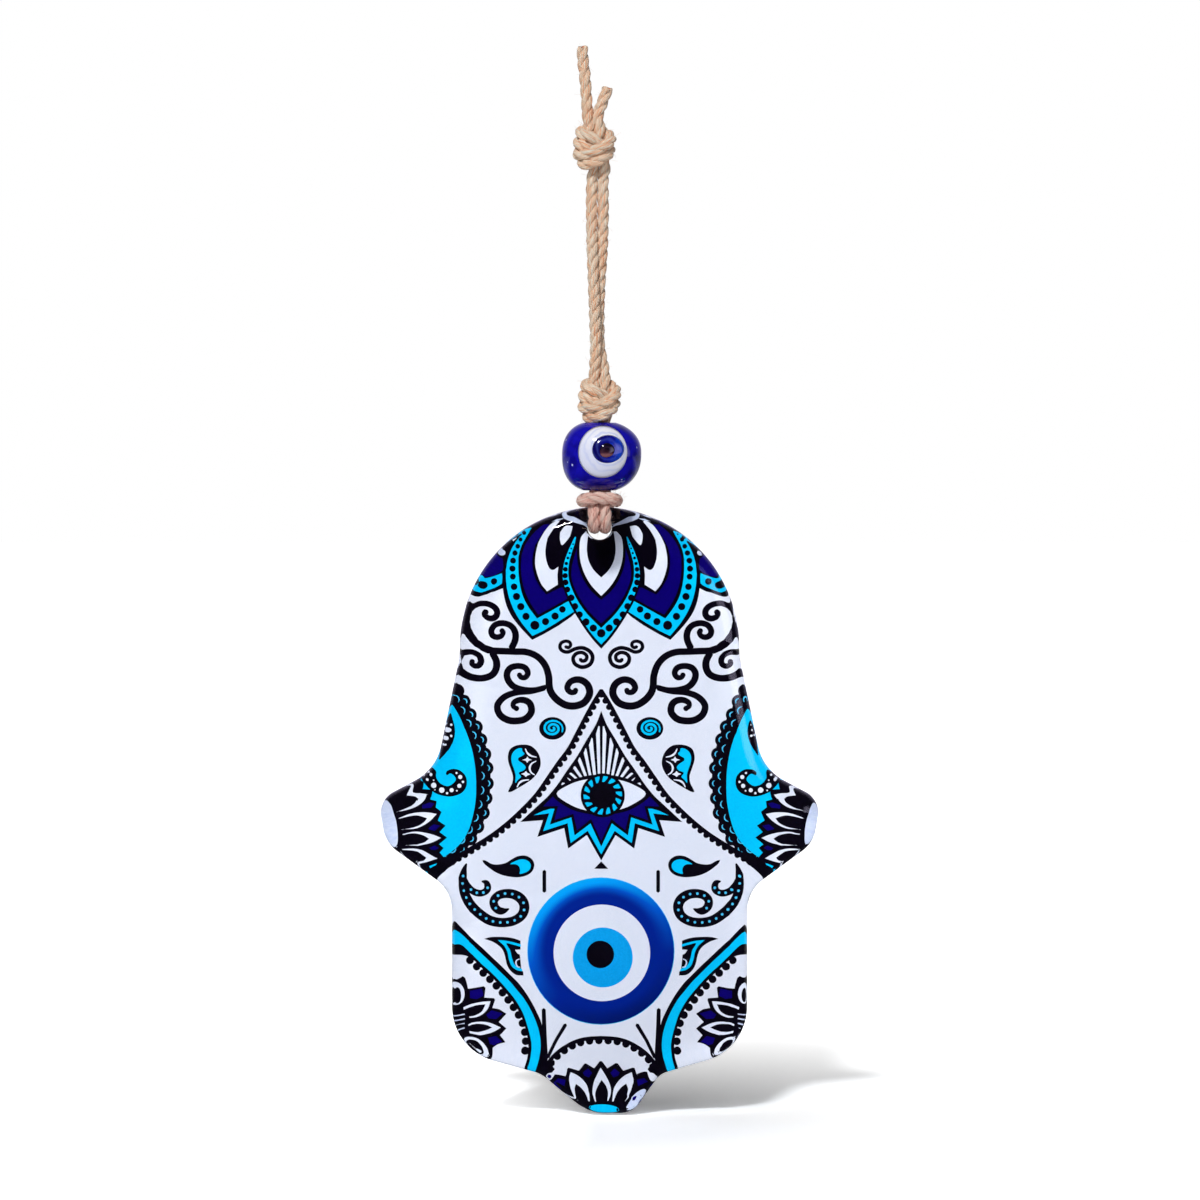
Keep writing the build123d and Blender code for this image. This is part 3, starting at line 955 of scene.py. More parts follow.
def finger_bands():
    """The cyan bands over the outer fingers, with a half lotus on each."""
    upper = through([
        (270, 1400), (320, 1452), (340, 1472), (370, 1503), (403, 1533), (430, 1559), (461, 1588),
        (490, 1617), (518, 1645), (542, 1677), (561, 1708), (575, 1735), (593, 1777), (600, 1830),
        (603, 1880), (590, 1960),
    ])
    under = through([
        (270, 1556), (305, 1554), (340, 1554), (368, 1567), (393, 1592), (418, 1614), (443, 1639),
        (468, 1667), (492, 1697), (512, 1726), (527, 1755), (537, 1784), (544, 1808), (549, 1840),
        (548, 1880), (540, 1912), (528, 1945),
    ])
    paint("black", upper + under[::-1])
    hem = through([
        (348, 1560), (375, 1585), (397, 1607), (420, 1628), (460, 1670), (495, 1715), (525, 1762),
        (538, 1805), (541, 1840), (538, 1880),
    ])
    beads("black", hem, 30, 13, 0)
    upper = through([
        (270, 1440), (300, 1465), (325, 1480), (345, 1497), (370, 1523), (400, 1552), (430, 1580),
        (460, 1610), (490, 1640), (515, 1670), (540, 1702), (566, 1750), (584, 1800), (590, 1850),
        (583, 1900), (570, 1940), (560, 1965),
    ])
    under = through([
        (270, 1530), (305, 1522), (322, 1518), (335, 1522), (350, 1535), (375, 1560), (400, 1585),
        (425, 1607), (450, 1632), (475, 1660), (500, 1690), (520, 1720), (535, 1750), (545, 1780),
        (553, 1808), (560, 1845), (558, 1880), (550, 1915), (535, 1955),
    ])
    paint("cyan", upper + under[::-1])
    paint("black", [
        (250, 1630), (303, 1622), (316, 1634), (336, 1622), (344, 1628), (350, 1648), (353, 1663),
        (404, 1655), (410, 1660), (406, 1692), (438, 1694), (441, 1700), (432, 1726), (455, 1730),
        (478, 1745), (453, 1772), (478, 1793), (457, 1815), (475, 1838), (434, 1855), (431, 1892),
        (412, 1892), (381, 1881), (340, 1859), (250, 1829),
    ])
    paint("white", disc(312, 1680, 30, 1.27))
    paint("black", disc(319, 1686, 12, 2.25))
    flame(
        (426, 1704), [(399, 1706), (365, 1713), (338, 1724)],
        [(418, 1727), (402, 1745), (380, 1756), (358, 1758)],
        (410, 1714), [(380, 1717), (352, 1727), (340, 1733)], [(398, 1737), (377, 1750), (358, 1754)],
    )
    flame(
        (460, 1790), [(428, 1776), (401, 1771), (370, 1773), (355, 1780)],
        [(440, 1802), (418, 1810), (389, 1813), (360, 1808)],
        (432, 1790), [(408, 1780), (375, 1778), (356, 1785)], [(408, 1800), (380, 1804), (358, 1801)],
    )
    paint("white", through([
        (345, 1827), (380, 1823), (412, 1849), (422, 1883), (410, 1885), (376, 1879),
    ], 4, True))
    paint("black", through([(352, 1833), (378, 1831), (398, 1849), (406, 1871), (386, 1869)], 4, True))
    shapes("navy", [
        [(361, 1670), (398, 1663), (403, 1686), (382, 1697), (361, 1694)],
        [(412, 1748), (430, 1734), (466, 1744), (445, 1762), (420, 1760)],
        [(418, 1822), (444, 1818), (464, 1836), (439, 1846), (424, 1842)],
    ])
    for y in (1750, 1765, 1780, 1795):
        paint("pale", stroke([(317, y + 4), (343, y - 3)], 3, 4))


def nazar():
    """The round eye in the palm."""
    paint("sky", disc(787, 1540, 241), both=False)
    paint("eye blue", disc(787, 1540, 239), both=False)
    paint("ground", disc(790, 1546, 158), both=False)
    paint("eye cyan", disc(793, 1561, 98), both=False)
    paint("black", disc(785, 1551, 45), both=False)


def bottom_lotus():
    """The arch and the upright lotus on the middle finger."""
    paint("black", [
        (590, 1872), (600, 1880), (608, 1888), (618, 1903), (628, 1912), (637, 1925), (628, 1936),
        (618, 1938), (608, 1946), (606, 1958), (540, 1990), (540, 1930), (572, 1934),
    ])
    paint("navy", disc(619, 1950, 8), both=False)
    arch = whole(through([
        (612, 1915), (622, 1895), (650, 1868), (675, 1851), (700, 1838), (725, 1830), (750, 1826),
        (788, 1824),
    ]))
    paint("black", stroke(arch, 13), both=False)
    beads("black", arch, 31, 12.5, 8, both=False)
    paint("black", [
        (540, 2110), (560, 1975), (613, 1961), (624, 1962), (637, 1942), (650, 1943), (672, 1948),
        (676, 1926), (681, 1921), (698, 1926), (715, 1931), (733, 1908), (738, 1907), (765, 1923),
        (783, 1900), (788, 1899), (792, 1902), (808, 1923), (835, 1906), (842, 1907), (860, 1931),
        (890, 1921), (897, 1922), (903, 1942), (930, 1933), (938, 1934), (950, 1965), (962, 1967),
        (975, 1960), (1036, 1990), (1036, 2110),
    ], both=False)
    flame(
        (786, 1921), [(775, 1943), (765, 1965), (760, 1990), (762, 2010), (769, 2031)],
        [(800, 1943), (812, 1965), (819, 1986), (819, 2005), (811, 2028)],
        (789, 1961), [(775, 1985), (769, 2005), (772, 2031)], [(803, 1980), (810, 2002), (808, 2028)],
        both=False,
    )
    flame(
        (688, 1936), [(684, 1960), (690, 1990), (699, 2010), (707, 2023)],
        [(708, 1945), (727, 1960), (742, 1980), (749, 2000), (752, 2030)],
        (706, 1973), [(702, 1990), (706, 2013), (712, 2030)], [(722, 1985), (738, 2005), (748, 2030)],
    )
    shapes("navy", [
        [(728, 1937), (745, 1924), (758, 1938), (748, 1953), (733, 1947)],
        [(637, 1967), (648, 1955), (672, 1960), (668, 1980)],
    ])
    paint("pale", through([
        (932, 1990), (914, 1994), (892, 2011), (876, 2032), (868, 2050), (880, 2048), (900, 2036),
        (920, 2014), (932, 1998),
    ], 3, True), both=False)
    paint("navy", through([(902, 2013), (890, 2017), (883, 2030), (896, 2025)], 3, True), both=False)
    paint("cyan", disc(798, 2054, 48, 0.3, 0.06), both=False)


def ink_materials():
    """One printed finish for each ink, with the faint grain and unevenness of a print."""
    colours = {
        "ground": ((226, 231, 243), (233, 236, 246)),
        "white": ((228, 234, 248), (236, 240, 252)),
        "pale": ((196, 208, 236), (214, 222, 242)),
        "sky": ((60, 190, 240), (90, 205, 248)),
        "cyan": ((0, 192, 248), (0, 204, 255)),
        "eye cyan": ((4, 156, 228), (14, 168, 240)),
        "navy": ((8, 0, 96), (14, 2, 112)),
        "black": ((4, 2, 9), (9, 5, 18)),
    }
    made = {}
    for ink, (dark, pale) in colours.items():
        made[ink] = mottled(
            ink + " ink", {"Scale": 2600.0, "Detail": 3.0, "Roughness": 0.7}, [(0.35, dark), (0.65, pale)],
            Roughness=0.5, Specular_IOR_Level=0.0,
        )
    made["eye blue"] = eye_blue()
    return made


def eye_blue():
    """The blue ring: bright at its upper left edge, deep along its inner edge and at its foot."""
    material, tree, shader = surface("eye blue ink", Roughness=0.5, Specular_IOR_Level=0.0)
    centred = result(tree, "ShaderNodeMapping", {
        "Vector": object_place(tree), "Location": (-0.0003, 0.0, 0.1791), "Scale": (1.0, 0.0, 1.0),
    })
    away = vector_maths(tree, "LENGTH", centred)
    outwards = spread(tree, away, 0.0125, 0.0164, interpolation_type="SMOOTHSTEP")
    lean = vector_maths(tree, "DOT_PRODUCT", vector_maths(tree, "NORMALIZE", centred), (-0.4, 0.0, 0.917))
    slope = spread(tree, lean, -1.0, 1.0, -0.22, 0.56)
    tone = maths(tree, "MULTIPLY_ADD", outwards, slope, 0.35)
    blues = [
        (0.0, (0, 14, 74)), (0.35, (0, 34, 140)), (0.6, (0, 84, 198)), (0.84, (2, 160, 246)),
        (1.0, (4, 182, 252)),
    ]
    feed(tree, shader.inputs["Base Color"], ramp(tree, tone, blues))
    return material


def inside(points, outline):
    """Which points lie inside a closed outline, by its winding round them."""
    x, y = points[:, :1], points[:, 1:]
    x0, y0 = outline[:, 0], outline[:, 1]
    x1, y1 = np.roll(x0, -1), np.roll(y0, -1)
    side = (x1 - x0) * (y - y0) - (x - x0) * (y1 - y0)
    up = ((y0 <= y) & (y1 > y) & (side > 0)).sum(axis=1)
    down = ((y0 > y) & (y1 <= y) & (side < 0)).sum(axis=1)
    return up != down


def partition(outlines):
    """Triangles that respect every outline, with the middle of each triangle."""
    spots, edges = [], []
    for outline in outlines:
        first = len(spots)
        count = len(outline)
        spots += [Vector(p) for p in outline]
        edges += [(first + i, first + (i + 1) % count) for i in range(count)]
    cut = delaunay_2d_cdt(spots, edges, [], 0, 1e-4)
    corners = np.array([(p.x, p.y) for p in cut[0]])
    triangles = np.array([list(face) for face in cut[2]])
    return corners, triangles, corners[triangles].mean(axis=1)


def print_film():
    """The film with its inks as one flat front, its cut edge and its plain back."""
    motifs = (
        top_lotus, scrolls, side_panels, thumb_lotus, eye_panel, palm_leaves, finger_bands, nazar,
        bottom_lotus,
    )
    for draw in motifs:
        draw()
    border = outline_inset(FILM_INSET)
    turns = [2 * pi * side / HOLE_SIDES for side in range(HOLE_SIDES)]
    hole = np.array([
        (FILM_HOLE_RADIUS * cos(turn), HOLE_Z + FILM_HOLE_RADIUS * sin(turn)) for turn in turns
    ])
    corners, triangles, middles = partition([border, hole] + [outline for ink, outline in inks])
    materials = ink_materials()
    names = list(materials)
    ink_of = np.zeros(len(triangles), int)
    for ink, outline in inks:
        low, high = outline.min(axis=0), outline.max(axis=0)
        near = np.nonzero(((middles >= low) & (middles <= high)).all(axis=1))[0]
        if len(near):
            ink_of[near[inside(middles[near], outline)]] = names.index(ink)
    kept = inside(middles, border) & ~inside(middles, hole)
    triangles, ink_of = triangles[kept], ink_of[kept]
    used, triangles = np.unique(triangles, return_inverse=True)
    points = [(x, FILM_FRONT, z) for x, z in corners[used]]
    faces = [tuple(t) for t in triangles.reshape(-1, 3)]
    face_materials = list(ink_of)
    back, back_triangles, back_middles = partition([border, hole])
    backing = len(names)
    first = len(points)
    points += [(x, FILM_BACK, z) for x, z in back]
    for triangle, middle in zip(back_triangles, back_middles):
        spot = middle[None, :]
        if inside(spot, border)[0] and not inside(spot, hole)[0]:
            faces.append(tuple(first + i for i in triangle[::-1]))
            face_materials.append(backing)
    for outline, turned in ((border, 1), (hole, -1)):
        start = len(points)
        count = len(outline)
        points += [(x, FILM_FRONT, z) for x, z in outline]
        points += [(x, FILM_BACK, z) for x, z in outline]
        for i in range(count):
            after = (i + 1) % count
            faces.append((start + i, start + after, start + count + after, start + count + i)[::turned])
            face_materials.append(backing)
    finishes = list(materials.values()) + [backing_material()]
    return piece("hand_print", points, faces, finishes, face_materials, smooth=False)


def backing_material():
    """The plain back of the film, a dull white with a faint mottle."""
    return mottled(
        "film back", {"Scale": 160.0, "Detail": 5.0}, [(0.0, (205, 208, 214)), (1.0, (228, 230, 234))],
        relief=(0.15, 0.0003), Roughness=0.6,
    )


# Eye bead

def bead_wobble(x, z):
    """How far the hand-made bead stands out of its even round at a place, as a share. Least in the middle."""
    turn = atan2(z, x)
    rim = min(1.0, (x / BEAD_HALF[0]) ** 2 + (z / BEAD_HALF[2]) ** 2)
    uneven = 0.11 * cos(turn - 0.45) + 0.03 * cos(2 * turn - 0.7)
    return rim * uneven + 0.02 * noise.noise((x * 0.18 + 3, z * 0.18, 1.5))


def bead_width(height):
    """The bead's width at a height above its middle, as a share of its widest."""
    return (1 - min(1.0, abs(height / BEAD_HALF[2])) ** BEAD_FULLNESS) ** (1 / BEAD_FULLNESS)


def bead_front(x, z):
    """Depth of the bead's front surface at a place near its middle."""
    share = bead_width(z - BEAD_Z) ** 2 - (x / BEAD_HALF[0]) ** 2
    return -BEAD_HALF[1] * sqrt(max(share, 0.02))


def bead_body(material):
    """The round of cobalt glass, wound a little uneven, with a rounded bore."""
    lip, steps, sides = 0.8, 40, 96
    profile = []
    for step in range(steps + 1):
        height = (BEAD_HALF_LENGTH - 0.02) * sin(pi / 2 * (1 - 2 * step / steps))
        profile.append((bead_width(height), height))
    points, faces = [], []
    for wide, height in profile:
        for side in range(sides):
            around = 2 * pi * side / sides
            x, y = BEAD_HALF[0] * wide * cos(around), BEAD_HALF[1] * wide * sin(around)
            # The ends stay round for the bore, and the front stays nearly even under the drops.
            grow = 1 + bead_wobble(x, height) * max(0.0, wide - 0.45) * (1 - max(0.0, -sin(around)) * 0.9)
            points.append((x * grow, y * grow, BEAD_Z + height))
    bore = []
    lip_steps = 6
    for step in range(1, lip_steps + 1):
        angle = pi / 2 * step / lip_steps
        bore.append((BORE_RADIUS + lip * (1 - sin(angle)), BEAD_HALF_LENGTH - lip * (1 - cos(angle))))
    bore += [(radius, -height) for radius, height in reversed(bore)]
    for radius, height in reversed(bore):
        for side in range(sides):
            around = 2 * pi * side / sides
            points.append((radius * cos(around), radius * sin(around), BEAD_Z + height))
    rings = len(profile) + len(bore)
    for ring in range(rings):
        below = (ring + 1) % rings
        for side in range(sides):
            after = (side + 1) % sides
            low, high = ring * sides, below * sides
            faces.append((low + side, high + side, high + after, low + after))
    return piece("bead_glass", points, faces, [material])


def eye_drop(name, material, centre, radius, flat, rise, under, unevenness):
    """One drop of glass melted onto the bead: domed, with a soft rim and a not quite round outline."""
    rings, sides = 14, 72
    points, faces = [], []
    for sheet in (0, 1):
        for ring in range(rings + 1):
            share = ring / rings
            for side in range(sides):
                around = 2 * pi * side / sides
                wave = unevenness * sin(2 * around + 0.6) + unevenness * 0.6 * sin(3 * around + 2)
                reach = radius * share * (1 + wave)
                x, z = centre[0] + reach * cos(around), centre[1] + reach * flat * sin(around)
                depth = bead_front(x, z) - under
                if sheet == 0:
                    depth -= (rise - under) * sqrt(max(0.0, 1 - share**5))
                else:
                    depth += 0.35 * (1 - share**2)
                points.append((x, depth, z))
    count = (rings + 1) * sides
    for sheet in (0, 1):
        for ring in range(rings):
            for side in range(sides):
                after = (side + 1) % sides
                low = sheet * count + ring * sides
                face = (low + side, low + sides + side, low + sides + after, low + after)
                faces.append(face if sheet == 1 else face[::-1])
    made = piece(name, points, faces, [material])
    weld(made)
    return made


def weld(made):
    """Closes seams and poles and points all faces outwards."""
    work = bmesh.new()
    work.from_mesh(made.data)
    bmesh.ops.remove_doubles(work, verts=work.verts, dist=1e-7)
    bmesh.ops.recalc_face_normals(work, faces=work.faces)
    work.to_mesh(made.data)
    work.free()


def cobalt_material():
    """Deep cobalt glass with drawn streaks, and scattered pale specks painted as glints."""
    material, tree, shader = surface(
        "cobalt glass", Roughness=0.06, IOR=1.5, Coat_Weight=0.3, Coat_Roughness=0.03, Subsurface_Weight=0.1,
        Subsurface_Scale=0.003, Subsurface_Radius=(0.1, 0.1, 1.0),
    )
    place = object_place(tree)
    streaks = cloud(tree, Vector=place, Scale=240.0, Detail=4.0, Distortion=1.2)
    base = ramp(tree, streaks, [(0.3, (10, 4, 118)), (0.72, (24, 18, 190))])
    # Painted highlights: a few tiny pale specks in the colour stand for glints off bubbles in the glass.
    glint_cells = add_node(tree, "ShaderNodeTexVoronoi", {"Vector": place, "Scale": 800.0}).outputs
    small = spread(tree, glint_cells["Distance"], 0.26, 0.16)
    chance = add_node(tree, "ShaderNodeSeparateColor", {0: glint_cells["Color"]}).outputs["Red"]
    glint = maths(tree, "MULTIPLY", small, maths(tree, "GREATER_THAN", chance, 0.95))
    feed(tree, shader.inputs["Base Color"], mix(tree, glint, base, ink_colour(190, 196, 255)))
    roughen(tree, shader, streaks, strength=0.1, distance=0.0004)
    return material


def drop_material(name, stops, centre, lean, swirl, rings):
    """Opaque coloured glass whose shade drifts and swirls across the drop, with drawn rings in it."""
    material, tree, shader = surface(name, Roughness=0.12, IOR=1.5, Coat_Weight=0.2, Coat_Roughness=0.03)
    place = object_place(tree)
    middle = (-centre[0] * MM, 0.0, -centre[1] * MM)
    centred = result(tree, "ShaderNodeMapping", {"Vector": place, "Location": middle})
    drift = vector_maths(tree, "DOT_PRODUCT", centred, lean)
    swirls = cloud(tree, Vector=place, Scale=420.0, Detail=3.0, Distortion=1.5)
    base = ramp(tree, maths(tree, "MULTIPLY_ADD", swirls, swirl, drift), stops)
    colour, strength, reach = rings
    drawn = add_node(
        tree, "ShaderNodeTexWave",
        {"Vector": centred, "Scale": 210.0, "Distortion": 5.0, "Detail": 3.0, "Detail Scale": 1.4},
        wave_type="RINGS", rings_direction="Y",
    )
    fine = maths(tree, "POWER", drawn.outputs["Fac"], 3.0)
    away = vector_maths(tree, "LENGTH", vector_maths(tree, "MULTIPLY", centred, (1.0, 0.0, 1.0)))
    fade = spread(tree, away, reach * MM * 0.7, reach * MM, strength, 0.0)
    weight = maths(tree, "MULTIPLY", fine, fade)
    feed(tree, shader.inputs["Base Color"], mix(tree, weight, base, ink_colour(*colour)))
    return material


# Twine

KNOT_ROUTE = [
    ((0.0, 0.0, 2.6), (-1.0, 0.0, 0.0)),
    ((0.0, 0.0, 2.1), (-1.0, 0.0, 0.0)),
    ((0.0, -0.25, 1.4), (-1.0, 0.0, 0.0)),
    ((-0.15, 0.1, 0.5), (-1.0, 0.0, 0.0)),
    ((-0.55, 0.6, -0.1), (-0.85, 0.1, 0.4)),
    ((-1.3, 0.6, -1.1), (-0.6, 0.2, 0.8)),
    ((-1.6, -0.45, -1.5), (-0.4, -0.1, 0.9)),
    ((-0.65, -1.35, -1.5), (-0.2, -0.1, 0.95)),
    ((0.65, -1.5, -0.95), (-0.3, -0.1, 0.95)),
    ((1.7, -0.85, -0.1), (0.0, -0.5, 0.85)),
    ((1.65, 0.45, 0.8), (0.2, -0.5, 0.85)),
    ((0.75, 1.25, 1.4), (0.1, 0.0, 1.0)),
    ((-0.45, 1.25, 1.5), (0.0, 0.0, 1.0)),
    ((-1.5, 0.6, 1.35), (0.15, 0.0, 1.0)),
    ((-1.65, -0.5, 1.0), (0.3, -0.1, 0.95)),
    ((-0.7, -1.35, 0.6), (0.4, -0.1, 0.9)),
    ((0.3, -0.85, -0.05), (0.6, -0.1, 0.8)),
    ((0.4, 0.0, -1.35), (1.0, 0.0, 0.0)),
    ((0.0, 0.0, -2.1), (1.0, 0.0, 0.0)),
    ((0.0, 0.0, -2.6), (1.0, 0.0, 0.0)),
]
KNOT_ACROSS = 2.15


def knot_route(strand, height, shift):
    """One strand's way through an overhand knot tied in both strands, from top to bottom."""
    upright = KNOT_HALF_HEIGHT / 2.6
    points = []
    for place, ((x, y, z), side) in enumerate(KNOT_ROUTE):
        aside = Vector(side).normalized() * strand * STRAND_X
        moved = shift if place < len(KNOT_ROUTE) - 2 else 0.0
        points.append((
            x * KNOT_ACROSS + moved + aside.x, y * KNOT_ACROSS + aside.y, z * upright + height + aside.z,
        ))
    return points


LEFT_STRAND = [
    (-1.75, 0.0, -1.2), (-1.85, -0.1, -9.5), (-1.6, -0.6, -19.6), (-1.2, -1.0, -29.6),
    (-0.85, -1.05, -39.1), (-1.0, -0.7, -43.9),
]
RIGHT_STRAND = [
    (0.7, 0.0, -1.2), (0.85, 0.1, -7.5), (0.7, 0.5, -16.0), (0.0, 1.0, -26.0), (-0.25, 1.1, -35.0),
    (-0.1, 1.05, -40.0), (0.8, 0.7, -43.9),
]
LONG_TAIL = [(-4.0, 0.0, 28.6), (-3.8, 0.1, 25.5), (-3.3, 0.0, 21.5), (-2.9, -0.1, 16.0), (-2.7, 0.0, 12.5)]
SHORT_TAIL = [(1.8, 0.0, 19.3), (1.1, 0.1, 17.1), (-0.2, 0.0, 14.0), (-0.5, -0.1, 12.2)]
HITCH = [
    (1.15, 0.0, -69.8), (1.15, 0.0, -75.1), (1.2, -5.3, -76.4), (1.25, -5.9, -78.2), (1.25, -5.4, -81.4),
    (1.2, 5.6, -81.4), (1.2, 6.0, -77.0), (3.3, 4.2, -74.9), (3.8, 0.6, -75.1), (4.0, -6.0, -75.3),
    (2.2, -7.0, -74.5),
]


def twine_line(name, points):
    """The smooth line of a twine, as a mesh of edges, from the control points of its spline."""
    curve = bpy.data.curves.new(name, "CURVE")
    curve.dimensions = "3D"
    curve.resolution_u = 10
    spline = curve.splines.new("NURBS")
    spline.points.add(len(points) - 1)
    for control, (x, y, z) in zip(spline.points, points):
        control.co = (x * MM, y * MM, z * MM, 1.0)
    spline.order_u = 3
    spline.use_endpoint_u = True
    holder = bpy.data.objects.new(name, curve)
    bpy.context.collection.objects.link(holder)
    line = plain_mesh(holder)
    bpy.data.objects.remove(holder)
    return line


def new_tree(name, *numbers):
    """A tree of geometry nodes with its own number inputs between those for geometry and material."""
    tree = bpy.data.node_groups.new(name, "GeometryNodeTree")
    for title, kind, default in (("Geometry", "Geometry", None), *numbers, ("Material", "Material", None)):
        made = tree.interface.new_socket(title, in_out="INPUT", socket_type="NodeSocket" + kind)
        if default is not None:
            made.default_value = default
    tree.interface.new_socket("Geometry", in_out="OUTPUT", socket_type="NodeSocketGeometry")
    return tree, add_node(tree, "NodeGroupInput").outputs


def end_tree(tree, geometry, material):
    """Ends a tree in a plain mesh with its material."""
    real = result(tree, "GeometryNodeRealizeInstances", {"Geometry": geometry})
    dressed = result(tree, "GeometryNodeSetMaterial", {"Geometry": real, "Material": material})
    add_node(tree, "NodeGroupOutput", {"Geometry": dressed})


def stored(tree, geometry, name, value, kind="FLOAT"):
    """A geometry that keeps a value on its points under a name."""
    inputs = {"Geometry": geometry, "Name": name, "Value": value}
    return result(tree, "GeometryNodeStoreNamedAttribute", inputs, data_type=kind, domain="POINT")


def recalled(tree, name):
    """A number kept under a name."""
    return result(tree, "GeometryNodeInputNamedAttribute", {"Name": name}, data_type="FLOAT")


def twine_tree():
    """Three plies twisted round a line, with the fibres' run kept as an attribute."""
    tree, start = new_tree(
        "three-ply twine", ("Ply Radius", "Float", PLY_RADIUS), ("Lay Radius", "Float", LAY_RADIUS),
        ("Twist Length", "Float", TWIST_LENGTH),
    )
    line = result(tree, "GeometryNodeMeshToCurve", {"Mesh": start["Geometry"]})
    even = result(tree, "GeometryNodeResampleCurve", {"Curve": line, "Length": LINE_STEP}, mode="LENGTH")
    spline = add_node(tree, "GeometryNodeSplineParameter").outputs
    turns = maths(tree, "DIVIDE", spline["Length"], start["Twist Length"])
    drift = cloud(tree, Scale=90.0, Detail=1.0)
    most_drift = 1.6
    twist = maths(tree, "MULTIPLY_ADD", drift, most_drift, maths(tree, "MULTIPLY", turns, 2 * pi))
    normal = result(tree, "GeometryNodeInputNormal")
    across = vector_maths(tree, "CROSS_PRODUCT", result(tree, "GeometryNodeInputTangent"), normal)
    plies = add_node(tree, "GeometryNodeJoinGeometry")
    for ply in range(3):
        angle = maths(tree, "ADD", twist, 2 * pi * ply / 3)
        swing = []
        for kind, direction in (("COSINE", normal), ("SINE", across)):
            reach = maths(tree, "MULTIPLY", maths(tree, kind, angle), start["Lay Radius"])
            swing.append(scaled(tree, direction, reach))
        offset = vector_maths(tree, "ADD", *swing)
        laid = result(tree, "GeometryNodeSetPosition", {"Geometry": even, "Offset": offset})
        circle = {"Resolution": PLY_SIDES, "Radius": start["Ply Radius"]}
        section = result(tree, "GeometryNodeCurvePrimitiveCircle", circle)
        around = maths(tree, "MULTIPLY_ADD", spline["Factor"], 2 * pi, 2.1 * ply)
        tube = result(tree, "GeometryNodeCurveToMesh", {
            "Curve": stored(tree, laid, "along", spline["Length"]),
            "Profile Curve": stored(tree, section, "round", around),
            "Fill Caps": True,
        })
        tree.links.new(tube, plies.inputs["Geometry"])
    along = recalled(tree, "along")
    fibre_turn = maths(tree, "MULTIPLY_ADD", along, FIBRE_ROUND, recalled(tree, "round"))
    fibre = result(tree, "ShaderNodeCombineXYZ", {
        0: maths(tree, "COSINE", fibre_turn),
        1: maths(tree, "SINE", fibre_turn),
        2: maths(tree, "MULTIPLY", along, FIBRE_ALONG),
    })
    run = stored(tree, plies.outputs["Geometry"], "fibre", fibre, "FLOAT_VECTOR")
    # The distance of each point from the middle line is kept, for the shade painted into the crevices between
    # the plies.
    core = add_node(tree, "GeometryNodeProximity", {"Geometry": start["Geometry"]}, target_element="EDGES")
    depth = maths(tree, "MULTIPLY", core.outputs["Distance"], 1 / MM)
    painted_crevice_shade = stored(tree, run, "out", depth)
    bumps = cloud(tree, Vector=fibre, Scale=2.2, Detail=2.0)
    lift = maths(tree, "MULTIPLY", maths(tree, "SUBTRACT", bumps, 0.5), FIBRE_RELIEF)
    push = scaled(tree, normal, lift)
    rough = result(tree, "GeometryNodeSetPosition", {"Geometry": painted_crevice_shade, "Offset": push})
    soft = result(tree, "GeometryNodeSetShadeSmooth", {"Geometry": rough})
    end_tree(tree, soft, start["Material"])
    return tree


def fuzz_tree():
    """Loose fibre ends that stand off the twine."""
    tree, start = new_tree(
        "twine fuzz", ("Hairs per Square Metre", "Float", 150000.0), ("Hair Radius", "Float", 0.00002),
        ("Seed", "Int", 7),
    )
    spots = add_node(tree, "GeometryNodeDistributePointsOnFaces", {
        "Mesh": start["Geometry"], "Density": start["Hairs per Square Metre"], "Seed": start["Seed"],
    }).outputs
    bend = result(tree, "GeometryNodeCurveQuadraticBezier", {
        "Resolution": 5, "Start": (0.0, 0.0, -0.0001), "Middle": (0.0009, 0.0001, 0.0003),
        "End": (0.0018, 0.0005, 0.00085),
    })
    circle = {"Resolution": HAIR_SIDES, "Radius": start["Hair Radius"]}
    section = result(tree, "GeometryNodeCurvePrimitiveCircle", circle)
    hair = result(tree, "GeometryNodeCurveToMesh", {"Curve": bend, "Profile Curve": section})
    lean = {"Min": (-0.3, -0.3, -pi), "Max": (0.3, 0.3, pi), "Seed": 11}
    spin = result(tree, "FunctionNodeRandomValue", lean, data_type="FLOAT_VECTOR")
    turn = result(tree, "FunctionNodeEulerToRotation", {"Euler": spin})
    both = {"Rotation": spots["Rotation"], "Rotate By": turn}
    turned = result(tree, "FunctionNodeRotateRotation", both, rotation_space="LOCAL")
    size = result(tree, "FunctionNodeRandomValue", {"Min": 0.35, "Max": 1.1, "Seed": 5}, data_type="FLOAT")
    stood = result(tree, "GeometryNodeInstanceOnPoints", {
        "Points": spots["Points"], "Instance": hair, "Rotation": turned, "Scale": size,
    })
    end_tree(tree, stood, start["Material"])
    return tree


def grown(name, mesh, tree, values):
    """An object whose mesh is what a node tree makes of another mesh."""
    made = bpy.data.objects.new(name, mesh)
    bpy.context.collection.objects.link(made)
    step = made.modifiers.new("make", "NODES")
    step.node_group = tree
    for item in tree.interface.items_tree:
        if item.in_out == "INPUT" and item.name in values:
            step[item.identifier] = values[item.name]
    grown_mesh = plain_mesh(made)
    made.modifiers.clear()
    made.data = grown_mesh
    return made


